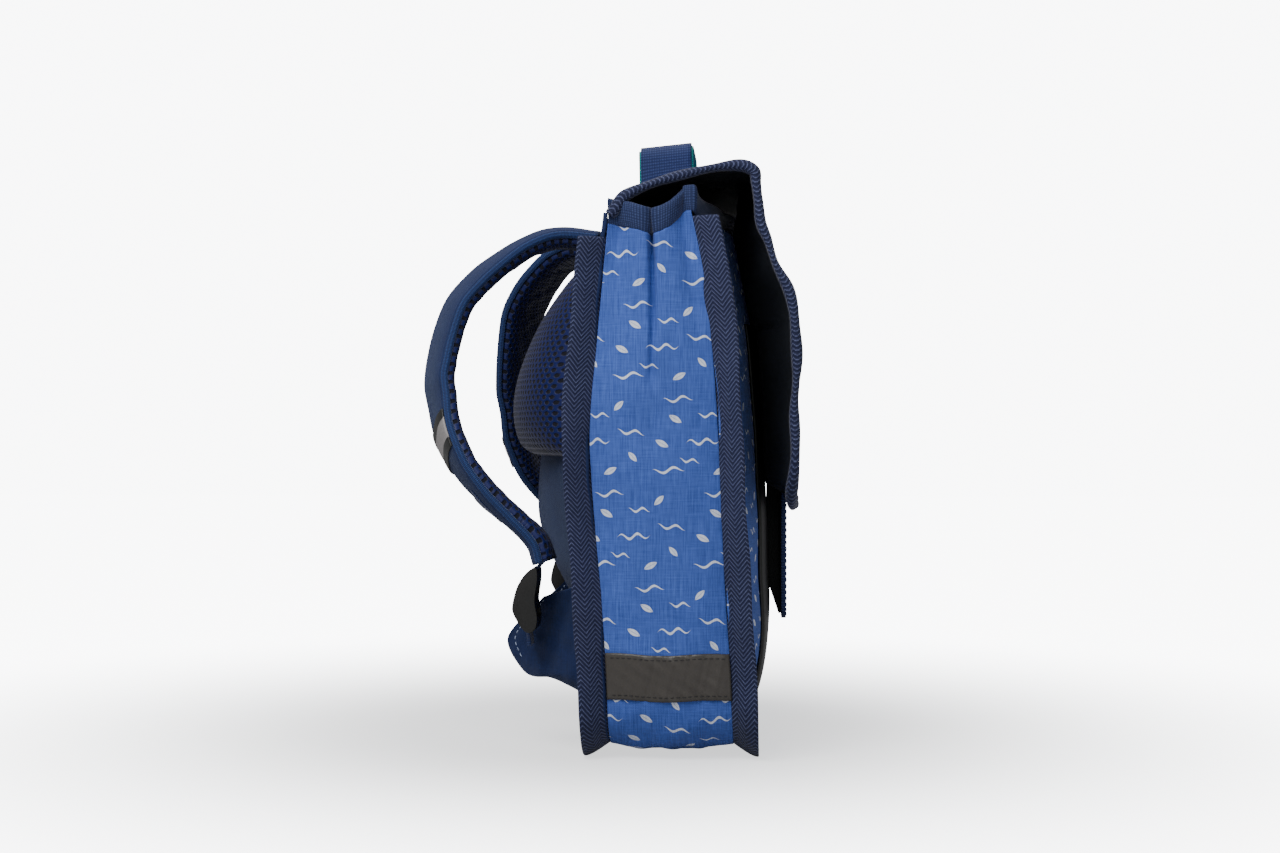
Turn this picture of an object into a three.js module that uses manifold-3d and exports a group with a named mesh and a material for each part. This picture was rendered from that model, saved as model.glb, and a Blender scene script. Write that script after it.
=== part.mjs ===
// School ransel: a child's satchel backpack with a stuffed, stand-up canvas body, a wrap-over flap
// with a hanging closure tab, bound seams, a carrying handle and two padded shoulder straps.
// Millimetres, +Z up. The flap side faces -Y, the shoulder straps face +Y and -X is the near side.

import * as THREE from "three";
import { mergeVertices } from "three/addons/utils/BufferGeometryUtils.js";
import Module from "manifold-3d";

const wasm = await Module();
wasm.setup();

// Body
const bodyWidth = 252;
const bodyHeight = 288;
const bodyDepth = 73;
const cornerRadius = 26;
const frontBulge = 19;
const backBulge = 31;
const sideBow = 6;
const pleatStartShare = 0.64;
const bottomSag = 3.6;
const canvasWall = 2;
const backWall = 3;
const gap = 0.3;

// Bound seams and mouth tape
const bindingWidth = 13;
const bindingThickness = 3;
const bindingTilt = THREE.MathUtils.degToRad(30);
const footChamfer = 2.6;
const mouthTapeHeight = 14;
const mouthTapeThickness = 4;
const mouthTapeSeat = 0.8;
const mouthWave = 8;

// Side tapes, which cover the seam between side and bottom panels
const tapeHeight = 25;
const tapeCentre = 47;
const tapeThickness = 0.8;

// Smooth centre panel of the front
const centrePanelShare = 0.4;
const centrePanelBase = 24;
const centrePanelTop = 236;
const centrePanelThickness = 2.4;

// Flap
const flapWidth = 232;
const flapWall = 2;
const liningWall = 1;
const flapClearance = 26.2;
const flapTopRise = 23;
const flapDrop = 175;
const flapCrown = 3;
const flapTuck = 19;
const flapTopEndShare = 0.3;
const flapCornerRadius = 24;
const flapBindingWidth = 10;
const flapBindingThickness = 6.4;
const flapBindingStartShare = 0.035;

// Closure tab
const tabWidth = 42;
const tabLength = 66;
const tabThickness = 3;
const tabCornerRadius = 10;
const tabBackWidth = 32;
const tabBackThickness = 6;
const tabBackTip = 2;
const tabBackSlant = 24;
const tabSetback = 0.2;

// Handle
const handleSpan = 84;
const handleWidth = 29;
const handleRise = 27;
const handleCorner = 9;
const handleForward = 30.5;
const handleSeat = 0.9;
const webbingThickness = 2;
const backingThickness = 1;

// Back pad
const padShare = 0.9;
const padBase = 163;
const padTop = 271;
const padThickness = 25;
const padEdge = 3;
const padGap = 0.7;

// Shoulder straps
const strapReach = 88.5;
const strapSeat = 2.6;
const strapEdgeRounding = 2.2;
const farStrapEase = 26;
const strapTop = 288;
const strapBase = 106.5;
const strapTopSpread = 50;
const strapBaseSpread = 104;
const strapWidth = 48;
const strapEndWidth = 28;
const strapPadding = 7;
const strapMesh = 4.4;
const strapTaperStartShare = 0.7;
const strapRoll = THREE.MathUtils.degToRad(-20);
const reflectorStartShare = 0.635;
const reflectorEndShare = 0.71;
const reflectorThickness = 0.7;

// Strap adjusters, lower webbing and side wings
const adjusterHeight = 35;
const adjusterWidth = 24;
const adjusterDepth = 13.8;
const adjusterSlot = 4;
const adjusterShift = 2;
const strapEndDrop = 2.6;
const webbingWidth = 20;
const webbingDrop = 8;
const webbingSeatShare = 0.4;
const webbingBendShare = 0.6;
const wingReach = 52;
const wingTop = 96;
const wingBase = 34;
const wingGap = 1.5;
const wingWall = 2;
const wingSpreadStep = 14;
const wingLean = 49;
const wingFold = 3.5;

const halfWidth = bodyWidth / 2;
const seamHeight = bindingWidth * Math.sin(bindingTilt) + bindingThickness / 2;
const mouthHeight = seamHeight + bodyHeight;
const wingSeatSpread = strapBaseSpread + wingSpreadStep;

// Depth of the back and front seams as shares of bodyDepth, and width as a share of bodyWidth.
const bodySections = [
  { height: 0.0, back: 0.425, front: -0.56, width: 0.985 },
  { height: 0.13, back: 0.44, front: -0.545, width: 0.99 },
  { height: 0.28, back: 0.475, front: -0.505, width: 1.0 },
  { height: 0.44, back: 0.53, front: -0.475, width: 1.0 },
  { height: 0.59, back: 0.56, front: -0.45, width: 1.0 },
  { height: 0.75, back: 0.51, front: -0.405, width: 0.99 },
  { height: 0.88, back: 0.465, front: -0.345, width: 0.98 },
  { height: 1.0, back: 0.42, front: -0.25, width: 0.975 },
];

// Shares of the body height at which the panels above the corners have a row.
const sideShares = [0.13, 0.2, 0.28, 0.36, 0.44, 0.52, 0.6, 0.68, 0.75, 0.82, 0.88, 0.94, 1];

// How far the stuffed front and back stand out, as shares of their bulges.
const bulgeSections = [
  { height: 0.0, front: 0.0, back: 0.0 },
  { height: 0.06, front: 0.42, back: 0.1 },
  { height: 0.16, front: 0.8, back: 0.36 },
  { height: 0.32, front: 0.98, back: 0.84 },
  { height: 0.5, front: 1.0, back: 1.0 },
  { height: 0.65, front: 1.0, back: 0.94 },
  { height: 0.8, front: 0.98, back: 0.62 },
  { height: 0.9, front: 0.97, back: 0.3 },
  { height: 1.0, front: 0.95, back: 0.08 },
];

// Folds of a side panel from the back seam to the front seam, as shares of sideBow: at the mouth,
// where a stitched pleat pinches the middle, and lower down.
const sideFolds = [
  { across: 0.0, mouth: 0.0, low: 0.0 },
  { across: 0.06, mouth: -0.3, low: 0.28 },
  { across: 0.14, mouth: -0.55, low: 0.55 },
  { across: 0.25, mouth: 0.1, low: 0.83 },
  { across: 0.38, mouth: 0.7, low: 0.97 },
  { across: 0.46, mouth: 0.45, low: 1.0 },
  { across: 0.5, mouth: -0.75, low: 0.98 },
  { across: 0.54, mouth: 0.45, low: 1.0 },
  { across: 0.64, mouth: 0.65, low: 0.95 },
  { across: 0.76, mouth: 0.3, low: 0.8 },
  { across: 0.87, mouth: -0.4, low: 0.52 },
  { across: 0.95, mouth: -0.25, low: 0.24 },
  { across: 1.0, mouth: 0.0, low: 0.0 },
];

// Rise and fall of the mouth from the back seam to the front seam, as shares of mouthWave.
const mouthSections = [
  { across: 0.0, rise: -0.1 },
  { across: 0.25, rise: -0.35 },
  { across: 0.5, rise: -0.8 },
  { across: 0.68, rise: -0.45 },
  { across: 0.85, rise: 0.4 },
  { across: 0.93, rise: 0.72 },
  { across: 1.0, rise: 0.75 },
];

// Flap seen from the side, from the back seam over the top and down the front: reach forward as
// a share of flapReach, rise as a share of flapTopRise, drop as a share of flapDrop, and how much
// of flapTuck its middle is drawn in.
const flapSections = [
  { along: 0.0, reach: 0.02, rise: 0.12, drop: 0.0, tuck: 0.0 },
  { along: 0.061, reach: 0.144, rise: 0.48, drop: 0.0, tuck: 0.0 },
  { along: 0.138, reach: 0.325, rise: 0.75, drop: 0.0, tuck: 0.0 },
  { along: 0.199, reach: 0.469, rise: 0.93, drop: 0.0, tuck: 0.0 },
  { along: 0.261, reach: 0.62, rise: 1.0, drop: 0.0, tuck: 0.0 },
  { along: 0.296, reach: 0.71, rise: 1.0, drop: 0.0, tuck: 0.12 },
  { along: 0.322, reach: 0.766, rise: 1.0, drop: 0.016, tuck: 0.38 },
  { along: 0.348, reach: 0.782, rise: 1.0, drop: 0.051, tuck: 0.5 },
  { along: 0.387, reach: 0.799, rise: 1.0, drop: 0.109, tuck: 0.61 },
  { along: 0.431, reach: 0.81, rise: 1.0, drop: 0.174, tuck: 0.61 },
  { along: 0.469, reach: 0.843, rise: 1.0, drop: 0.225, tuck: 0.68 },
  { along: 0.523, reach: 0.877, rise: 1.0, drop: 0.303, tuck: 0.78 },
  { along: 0.581, reach: 0.934, rise: 1.0, drop: 0.383, tuck: 0.96 },
  { along: 0.645, reach: 0.969, rise: 1.0, drop: 0.474, tuck: 0.93 },
  { along: 0.74, reach: 0.977, rise: 1.0, drop: 0.615, tuck: 0.85 },
  { along: 0.84, reach: 0.974, rise: 1.0, drop: 0.765, tuck: 0.73 },
  { along: 0.93, reach: 0.968, rise: 1.0, drop: 0.9, tuck: 0.42 },
  { along: 1.0, reach: 0.955, rise: 1.0, drop: 1.0, tuck: 0.165 },
];

// Shoulder strap seen from the side: distance out from the back as a share of strapReach, and
// height as a share of the drop from its top to its lower end.
const strapSections = [
  { along: 0, out: 0, height: 0.983 },
  { along: 0.06, out: 0.247, height: 1.0 },
  { along: 0.13, out: 0.44, height: 0.978 },
  { along: 0.2, out: 0.613, height: 0.928 },
  { along: 0.28, out: 0.785, height: 0.857 },
  { along: 0.35, out: 0.903, height: 0.78 },
  { along: 0.43, out: 0.973, height: 0.669 },
  { along: 0.52, out: 1.0, height: 0.552 },
  { along: 0.57, out: 0.978, height: 0.482 },
  { along: 0.66, out: 0.919, height: 0.377 },
  { along: 0.74, out: 0.806, height: 0.278 },
  { along: 0.82, out: 0.656, height: 0.196 },
  { along: 0.89, out: 0.495, height: 0.127 },
  { along: 0.96, out: 0.349, height: 0.058 },
  { along: 1.0, out: 0.306, height: 0 },
];

// Free edge of a side wing: reach as a share of wingReach, height as a share of its seam.
const wingSections = [
  { along: 0, reach: 0.5, height: 0.855 },
  { along: 0.16, reach: 0.67, height: 0.73 },
  { along: 0.3, reach: 0.82, height: 0.62 },
  { along: 0.45, reach: 1.0, height: 0.435 },
  { along: 0.56, reach: 0.917, height: 0.26 },
  { along: 0.66, reach: 0.78, height: 0.145 },
  { along: 0.78, reach: 0.535, height: 0.145 },
  { along: 0.9, reach: 0.34, height: 0.097 },
  { along: 1.0, reach: 0.13, height: 0.02 },
];

// Outline of a strap adjuster seen from the side, as shares of its depth and height.
const adjusterOutline = [
  { out: 0.05, up: 1.0 },
  { out: 0.42, up: 0.93 },
  { out: 0.78, up: 0.72 },
  { out: 0.97, up: 0.45 },
  { out: 0.95, up: 0.3 },
  { out: 0.62, up: 0.08 },
  { out: 0.36, up: 0.0 },
  { out: 0.1, up: 0.05 },
  { out: 0.0, up: 0.22 },
  { out: 0.1, up: 0.5 },
  { out: 0.0, up: 0.8 },
];
const adjusterSteps = 22;

// Heights of its two slots, as shares of adjusterHeight.
const adjusterSlotShares = [0.3, 0.62];

// Section of the flap's folded binding, as shares of its width and of half its thickness.
const flapBindingSection = [
  { reach: 0.03, lift: -0.8 },
  { reach: 0.6, lift: -1.0 },
  { reach: 0.94, lift: -0.55 },
  { reach: 0.94, lift: 0.55 },
  { reach: 0.6, lift: 1.0 },
  { reach: 0.03, lift: 0.8 },
];

// Smooth reading of one column of a table at a place along its key column.
function readTable(table, key, column, place) {
  const last = table.length - 2;
  let row = 0;
  while (row < last && place > table[row + 1][key]) {
    row += 1;
  }
  const before = table[Math.max(row - 1, 0)];
  const from = table[row];
  const to = table[row + 1];
  const after = table[Math.min(row + 2, table.length - 1)];
  const span = to[key] - from[key];
  const share = THREE.MathUtils.clamp((place - from[key]) / span, 0, 1);
  const startSlope = ((to[column] - before[column]) / (to[key] - before[key])) * span;
  const endSlope = ((after[column] - from[column]) / (after[key] - from[key])) * span;
  const square = share * share;
  const cube = square * share;
  return (
    (2 * cube - 3 * square + 1) * from[column] +
    (cube - 2 * square + share) * startSlope +
    (3 * square - 2 * cube) * to[column] +
    (cube - square) * endSlope
  );
}

function steps(count) {
  return Array.from({ length: count + 1 }, (_, index) => index / count);
}

function vector(x, y, z) {
  return new THREE.Vector3(x, y, z);
}

// A closed geometry from vertices and triangles, turned so that its faces point out.
function closedGeometry(vertices, triangles) {
  let volume = 0;
  const cross = new THREE.Vector3();
  for (const [a, b, c] of triangles) {
    volume += vertices[a].dot(cross.crossVectors(vertices[b], vertices[c]));
  }
  const ordered = volume < 0 ? triangles.map(([a, b, c]) => [a, c, b]) : triangles;
  const geometry = new THREE.BufferGeometry();
  geometry.setFromPoints(vertices);
  geometry.setIndex(ordered.flat());
  geometry.computeVertexNormals();
  return geometry;
}

// A closed sheet between two grids of points of the same size.
function sheetGeometry(outer, inner, wide) {
  const count = outer.length;
  const high = count / wide;
  const triangles = [];
  const quad = (a, b, c, d) => triangles.push([a, b, c], [a, c, d]);
  for (let j = 0; j < high - 1; j += 1) {
    for (let i = 0; i < wide - 1; i += 1) {
      const a = j * wide + i;
      quad(a, a + 1, a + wide + 1, a + wide);
      quad(count + a, count + a + wide, count + a + wide + 1, count + a + 1);
    }
  }
  for (let i = 0; i < wide - 1; i += 1) {
    const top = (high - 1) * wide + i;
    quad(i, count + i, count + i + 1, i + 1);
    quad(top, top + 1, count + top + 1, count + top);
  }
  for (let j = 0; j < high - 1; j += 1) {
    const left = j * wide;
    const right = left + wide - 1;
    quad(left, left + wide, count + left + wide, count + left);
    quad(right, count + right, count + right + wide, right + wide);
  }
  return closedGeometry([...outer, ...inner], triangles);
}

// A wall that lies between two depths behind the face that point(across, along) gives.
function wallGeometry({ point, columns, rows, near, far, easing = 0.02 }) {
  const depthOf = (value, u, v) => (typeof value === "function" ? value(u, v) : value);
  const outer = [];
  const inner = [];
  for (const v of rows) {
    for (const u of columns) {
      const across = point(Math.min(u + easing, 1), v).sub(point(Math.max(u - easing, 0), v));
      const along = point(u, Math.min(v + easing, 1)).sub(point(u, Math.max(v - easing, 0)));
      const normal = across.cross(along).normalize();
      outer.push(point(u, v).addScaledVector(normal, -depthOf(near, u, v)));
      inner.push(point(u, v).addScaledVector(normal, -depthOf(far, u, v)));
    }
  }
  return sheetGeometry(outer, inner, columns.length);
}

// A tape swept through stations. A station has a place and two directions, along which the
// section's points are measured, and fit() may seat its points on another piece.
function tapeGeometry(stations, section) {
  const keep = (place) => place;
  const vertices = stations.flatMap(({ place, reachWay, liftWay, fit = keep }) =>
    section.map(({ reach, lift }) =>
      fit(place.clone().addScaledVector(reachWay, reach).addScaledVector(liftWay, lift)),
    ),
  );
  const sides = section.length;
  const triangles = [];
  for (let j = 0; j < stations.length - 1; j += 1) {
    for (let i = 0; i < sides; i += 1) {
      const a = j * sides + i;
      const b = j * sides + ((i + 1) % sides);
      triangles.push([a, b, b + sides], [a, b + sides, a + sides]);
    }
  }
  const last = (stations.length - 1) * sides;
  for (let i = 1; i < sides - 1; i += 1) {
    triangles.push([0, i + 1, i], [last, last + i, last + i + 1]);
  }
  return closedGeometry(vertices, triangles);
}

// Section of a folded tape: it starts at its seam and its outer end is rounded.
function foldedSection(start, width, thickness, chamfer, slope) {
  const half = thickness / 2;
  const rise = chamfer * Math.tan(slope);
  return [
    { reach: start, lift: -half },
    { reach: start + width - chamfer, lift: -half },
    { reach: start + width, lift: -half + rise },
    { reach: start + width, lift: half - rise / 2 },
    { reach: start + width - chamfer / 2, lift: half },
    { reach: start, lift: half },
  ];
}

function solidOf(geometry) {
  const plain = geometry.clone();
  plain.deleteAttribute("normal");
  plain.deleteAttribute("uv");
  const merged = mergeVertices(plain);
  const vertProperties = new Float32Array(merged.attributes.position.array);
  const triVerts = new Uint32Array(merged.index.array);
  return new wasm.Manifold(new wasm.Mesh({ numProp: 3, vertProperties, triVerts }));
}

function geometryOf(solid) {
  const mesh = solid.getMesh();
  const geometry = new THREE.BufferGeometry();
  geometry.setAttribute("position", new THREE.BufferAttribute(mesh.vertProperties, 3));
  geometry.setIndex(new THREE.BufferAttribute(mesh.triVerts, 1));
  geometry.computeVertexNormals();
  return geometry;
}

// Body seams
function heightShare(z) {
  return THREE.MathUtils.clamp((z - seamHeight) / bodyHeight, 0, 1);
}

function sideX(z) {
  return halfWidth * readTable(bodySections, "height", "width", heightShare(z));
}

function backY(z) {
  return bodyDepth * readTable(bodySections, "height", "back", heightShare(z));
}

function frontY(z) {
  return bodyDepth * readTable(bodySections, "height", "front", heightShare(z));
}

// Half width of the front and back panels at a height, with their rounded lower corners.
function panelHalfWidth(z) {
  const full = sideX(Math.max(z, seamHeight + cornerRadius));
  const drop = Math.max(cornerRadius - (z - seamHeight), 0);
  return full - cornerRadius + Math.sqrt(Math.max(cornerRadius ** 2 - drop ** 2, 0));
}

function bulgeAt(x, z, side, size) {
  const share = Math.min(Math.abs(x) / panelHalfWidth(z), 1);
  return size * readTable(bulgeSections, "height", side, heightShare(z)) * (1 - share ** 2.1);
}

function frontFace(x, z) {
  return frontY(z) - bulgeAt(x, z, "front", frontBulge);
}

function backFace(x, z) {
  return backY(z) + bulgeAt(x, z, "back", backBulge);
}

// How far the flap reaches forward from the back seam, clear of the stuffed front.
const flapMiddleZ = mouthHeight - flapDrop / 2;
const flapReach = backY(mouthHeight) - frontFace(0, flapMiddleZ) + flapClearance;

// Heights of the rows that the panels and the bound seams share.
const cornerZ = seamHeight + cornerRadius;
const cornerAngles = steps(4).map((share) => (share * Math.PI) / 2);
const cornerHeights = cornerAngles.map((angle) => cornerZ - cornerRadius * Math.sin(angle));
const sideHeights = sideShares.map((share) => seamHeight + share * bodyHeight);

// Outline of the body seen from behind: down the near side, round, and up the far side.
function bodyOutline(topHeight, bottomCount) {
  const cornerX = sideX(cornerZ) - cornerRadius;
  const heights = [...sideHeights, topHeight].filter((z) => z <= topHeight && z > cornerZ);
  const near = heights
    .sort((a, b) => b - a)
    .map((z) => ({ x: -sideX(z), z, outX: -1, outZ: 0 }));
  cornerAngles.forEach((angle, index) => {
    const outX = -Math.cos(angle);
    const x = cornerRadius * outX - cornerX;
    near.push({ x, z: cornerHeights[index], outX, outZ: -Math.sin(angle) });
  });
  const base = steps(bottomCount)
    .slice(1, -1)
    .map((share) => ({ x: cornerX * (2 * share - 1), z: seamHeight, outX: 0, outZ: -1 }));
  const far = near.map(({ x, z, outX, outZ }) => ({ x: -x, z, outX: -outX, outZ })).reverse();
  return [...near, ...base, ...far];
}

// Side and bottom panels
function mouthAt(across) {
  return mouthHeight + mouthWave * readTable(mouthSections, "across", "rise", across);
}

function panelEdge(across) {
  return mouthAt(across) - mouthTapeHeight - mouthTapeSeat;
}

function gussetY(z, across) {
  return THREE.MathUtils.lerp(backY(z) - backWall - gap, frontY(z) + canvasWall + gap, across);
}

function sideBowAt(z, across) {
  const pinch = THREE.MathUtils.smoothstep(z, seamHeight + pleatStartShare * bodyHeight, mouthHeight);
  const rounding = THREE.MathUtils.smoothstep(z, seamHeight, seamHeight + 2 * cornerRadius);
  const low = readTable(sideFolds, "across", "low", across) * (0.5 + 0.5 * rounding);
  const high = readTable(sideFolds, "across", "mouth", across);
  return sideBow * THREE.MathUtils.lerp(low, high, pinch);
}

function sideFace(side, across, z) {
  return vector(side * (sideX(z) + sideBowAt(z, across)), gussetY(z, across), z);
}

const foldColumns = sideFolds.map((fold) => fold.across);

// A layer on a side panel, between two distances outside its face.
function sideLayerGeometry(side, heights, from, to) {
  const grid = (distance) =>
    heights.flatMap((heightAt) =>
      foldColumns.map((across) => {
        const place = sideFace(side, across, heightAt(across));
        return place.setX(place.x + side * distance);
      }),
    );
  return sheetGeometry(grid(to), grid(from), foldColumns.length);
}

function sidePanelGeometry(side) {
  const base = tapeCentre + gap / 2;
  const inner = sideHeights.filter((z) => z > base && z < panelEdge(0));
  const shares = [base, ...inner, panelEdge(0)].map((z) => (z - base) / (panelEdge(0) - base));
  const heights = shares.map((share) => (across) =>
    THREE.MathUtils.lerp(base, panelEdge(across), share));
  return sideLayerGeometry(side, heights, -canvasWall, 0);
}

function sideTapeGeometry(side) {
  const half = tapeHeight / 2;
  const heights = [tapeCentre - half, tapeCentre, tapeCentre + half].map((z) => () => z);
  return sideLayerGeometry(side, heights, gap, gap + tapeThickness);
}

function bottomPanelGeometry() {
  const outline = bodyOutline(tapeCentre - gap / 2, 4);
  const outer = [];
  const inner = [];
  for (const { x, z, outX, outZ } of outline) {
    for (const across of foldColumns) {
      const sag = bottomSag * Math.sin(Math.PI * across);
      const out = THREE.MathUtils.lerp(sag, sideBowAt(z, across), Math.abs(outX));
      const y = gussetY(z, across);
      outer.push(vector(x + outX * out, y, z + outZ * out));
      inner.push(vector(x + outX * (out - canvasWall), y, z + outZ * (out - canvasWall)));
    }
  }
  return sheetGeometry(outer, inner, foldColumns.length);
}

// Front and back panels and what lies on them
const panelColumns = [0, 0.04, 0.1, 0.18, 0.24, 0.3, 0.4, 0.5, 0.6, 0.7, 0.76, 0.82, 0.9, 0.96, 1];

// A layer between two distances outside a panel's face, from one height to another.
function layerGeometry({ face, facing, base, top, half = 1, from, to }) {
  const heights = [base, ...cornerHeights, ...sideHeights, top];
  const rows = [...new Set(heights)].filter((z) => z >= base && z <= top).sort((a, b) => a - b);
  const columns = [-half, ...panelColumns.map((share) => 2 * share - 1), half];
  const kept = [...new Set(columns)].filter((s) => Math.abs(s) <= half).sort((a, b) => a - b);
  const distance = (value, s, z) => (typeof value === "function" ? value(s, z) : value);
  const grid = (value) =>
    rows.flatMap((z) =>
      kept.map((s) => {
        const x = s * panelHalfWidth(z);
        return vector(x, face(x, z) + facing * distance(value, s, z), z);
      }),
    );
  return sheetGeometry(grid(to), grid(from), kept.length);
}

function backPadGeometry() {
  const plump = (s, z) => {
    const share = (z - padBase) / (padTop - padBase);
    const across = 1 - Math.abs(s / padShare) ** 6;
    const upward = Math.sqrt(Math.sin(Math.PI * share ** 0.85));
    return padGap + padEdge + (padThickness - padEdge) * across * upward;
  };
  return layerGeometry({
    face: backFace,
    facing: 1,
    base: padBase,
    top: padTop,
    half: padShare,
    from: padGap,
    to: plump,
  });
}

// Bound seams: folded tapes that stand out diagonally along the back and front edges
function seamBindingGeometry(seamY, facing, topHeight) {
  const section = foldedSection(gap, bindingWidth - gap, bindingThickness, footChamfer, bindingTilt);
  const stations = bodyOutline(topHeight, 2).map(({ x, z, outX, outZ }) => {
    const outward = vector(outX, 0, outZ);
    const sideways = vector(0, facing, 0);
    const sine = Math.sin(bindingTilt);
    const cosine = Math.cos(bindingTilt);
    return {
      place: vector(x, seamY(z), z),
      reachWay: outward.clone().multiplyScalar(sine).addScaledVector(sideways, cosine),
      liftWay: outward.clone().multiplyScalar(-cosine).addScaledVector(sideways, sine),
    };
  });
  return tapeGeometry(stations, section);
}

// Mouth tape: along the top edges of the near side, the front and the far side
function mouthTapeGeometry() {
  const half = mouthTapeThickness / 2;
  const section = [
    { reach: 0, lift: -half },
    { reach: mouthTapeHeight - 1, lift: -half },
    { reach: mouthTapeHeight, lift: -half / 2 },
    { reach: mouthTapeHeight, lift: half / 2 },
    { reach: mouthTapeHeight - 1, lift: half },
    { reach: 0, lift: half },
  ];
  const middle = canvasWall / 2;
  const near = foldColumns.slice(0, -1).map((across) => {
    const z = mouthAt(across) - mouthTapeHeight;
    const place = sideFace(-1, across, z);
    place.y = Math.min(place.y, gussetY(mouthHeight, 0));
    return place.setX(place.x + middle);
  });
  const frontHeight = mouthAt(1) - mouthTapeHeight;
  const nearHalf = panelColumns.filter((share) => share > 0 && share <= 0.5);
  const front = nearHalf.map((share) => {
    const x = (2 * share - 1) * panelHalfWidth(frontHeight);
    return vector(x, frontFace(x, frontHeight) + middle, frontHeight);
  });
  const route = [...near, ...front];
  const mirrored = route.slice(0, -1).map((place) => vector(-place.x, place.y, place.z)).reverse();
  const places = [...route, ...mirrored];
  const stations = places.map((place, index) => {
    const before = places[Math.max(index - 1, 0)];
    const after = places[Math.min(index + 1, places.length - 1)];
    const atEnd = index === 0 || index === places.length - 1;
    const heading = after.clone().sub(before).setZ(0).normalize();
    const liftWay = atEnd ? vector(before.x > 0 ? 1 : -1, 0, 0) : vector(heading.y, -heading.x, 0);
    return { place, reachWay: vector(0, 0, 1), liftWay };
  });
  return tapeGeometry(stations, section);
}

// Flap
function flapHalfWidth(along) {
  const drop = Math.max(flapCornerRadius - (1 - along) * flapLength, 0);
  return flapWidth / 2 - flapCornerRadius + Math.sqrt(flapCornerRadius ** 2 - drop ** 2);
}

function flapFace(x, along) {
  const read = (column) => readTable(flapSections, "along", column, along);
  const middle = (1 - Math.min(Math.abs(x) / (flapWidth / 2), 1) ** 2) ** 2;
  const turned = THREE.MathUtils.smoothstep(along, flapTopEndShare - 0.04, flapTopEndShare + 0.04);
  const crown = flapCrown * middle * (1 - turned);
  const y = backY(mouthHeight) - flapReach * read("reach") + flapTuck * middle * read("tuck");
  const z = mouthHeight + flapTopRise * read("rise") - flapDrop * read("drop");
  return vector(x, y, z + crown * THREE.MathUtils.smoothstep(along, 0, 0.1));
}

const flapLength = flapSections.slice(1).reduce((sum, row, index) => {
  const before = flapFace(flapWidth / 2, flapSections[index].along);
  return sum + flapFace(flapWidth / 2, row.along).distanceTo(before);
}, 0);
const flapColumns = [0, 0.08, 0.2, 0.32, 0.44, 0.5, 0.56, 0.68, 0.8, 0.92, 1];
const flapEndRows = [0.96, 0.985];

function flapLayerGeometry(near, far) {
  const point = (u, v) => flapFace((2 * u - 1) * flapHalfWidth(v), v);
  const rows = [...flapSections.map((row) => row.along), ...flapEndRows].sort((a, b) => a - b);
  return wallGeometry({ point, columns: flapColumns, rows, near: -near, far: -far, easing: 0.006 });
}

function flapBindingGeometry() {
  const cornerShare = 1 - flapCornerRadius / flapLength;
  const edge = [];
  for (const { along } of flapSections) {
    if (along > flapBindingStartShare && along < cornerShare) {
      edge.push({ x: -flapWidth / 2, along, outX: -1, outAlong: 0 });
    }
  }
  edge.unshift({ x: -flapWidth / 2, along: flapBindingStartShare, outX: -1, outAlong: 0 });
  for (const share of steps(5)) {
    const angle = (Math.PI / 2) * share;
    const outX = -Math.cos(angle);
    const outAlong = Math.sin(angle);
    const x = flapCornerRadius * (1 + outX) - flapWidth / 2;
    const along = cornerShare + (flapCornerRadius * outAlong) / flapLength;
    edge.push({ x, along, outX, outAlong });
  }
  edge.push({ x: -flapWidth / 8, along: 1, outX: 0, outAlong: 1 });
  const mirrored = edge.map((one) => ({ ...one, x: -one.x, outX: -one.outX })).reverse();
  const half = flapBindingThickness / 2;
  const section = flapBindingSection.map(({ reach, lift }) => (
    { reach: reach * flapBindingWidth, lift: lift * half }
  ));
  const easing = 0.01;
  const middle = (flapWall + gap + liningWall) / 2;
  const stations = [...edge, ...mirrored].map(({ x, along, outX, outAlong }) => {
    const later = flapFace(x, Math.min(along + easing, 1));
    const alongWay = later.sub(flapFace(x, along - easing)).normalize();
    const acrossWay = flapFace(x + 1, along).sub(flapFace(x - 1, along)).normalize();
    const normal = acrossWay.clone().cross(alongWay).normalize();
    const reachWay = acrossWay.multiplyScalar(outX).addScaledVector(alongWay, outAlong);
    const place = flapFace(x, along).addScaledVector(normal, middle);
    return { place, reachWay: reachWay.normalize(), liftWay: normal };
  });
  return tapeGeometry(stations, section);
}

// Closure tab, hung from the middle of the flap's lower edge
function flapHem() {
  const end = flapFace(0, 1);
  return vector(0, end.y - tabSetback, end.z - flapBindingWidth - gap);
}

function tabGeometry() {
  const half = tabWidth / 2;
  const shape = new THREE.Shape();
  shape.moveTo(-half, 0);
  shape.lineTo(-half, tabCornerRadius - tabLength);
  shape.quadraticCurveTo(-half, -tabLength, tabCornerRadius - half, -tabLength);
  shape.lineTo(half - tabCornerRadius, -tabLength);
  shape.quadraticCurveTo(half, -tabLength, half, tabCornerRadius - tabLength);
  shape.lineTo(half, 0);
  shape.closePath();
  const settings = { depth: tabThickness, bevelEnabled: false, curveSegments: 4 };
  const hem = flapHem();
  return new THREE.ExtrudeGeometry(shape, settings)
    .rotateX(Math.PI / 2)
    .translate(0, hem.y + tabThickness, hem.z);
}

function tabBackGeometry() {
  const shape = new THREE.Shape();
  shape.moveTo(0, 0);
  shape.lineTo(0, tabBackTip - tabLength);
  shape.lineTo(tabBackTip, tabBackTip - tabLength);
  shape.lineTo(tabBackThickness, tabBackSlant - tabLength);
  shape.lineTo(tabBackThickness, 0);
  shape.closePath();
  const settings = { depth: tabBackWidth, bevelEnabled: false };
  const hem = flapHem();
  const start = hem.y + tabThickness + gap;
  return new THREE.ExtrudeGeometry(shape, settings)
    .rotateY(Math.PI / 2)
    .rotateX(Math.PI / 2)
    .applyMatrix4(new THREE.Matrix4().makeTranslation(-tabBackWidth / 2, start, hem.z));
}

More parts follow.
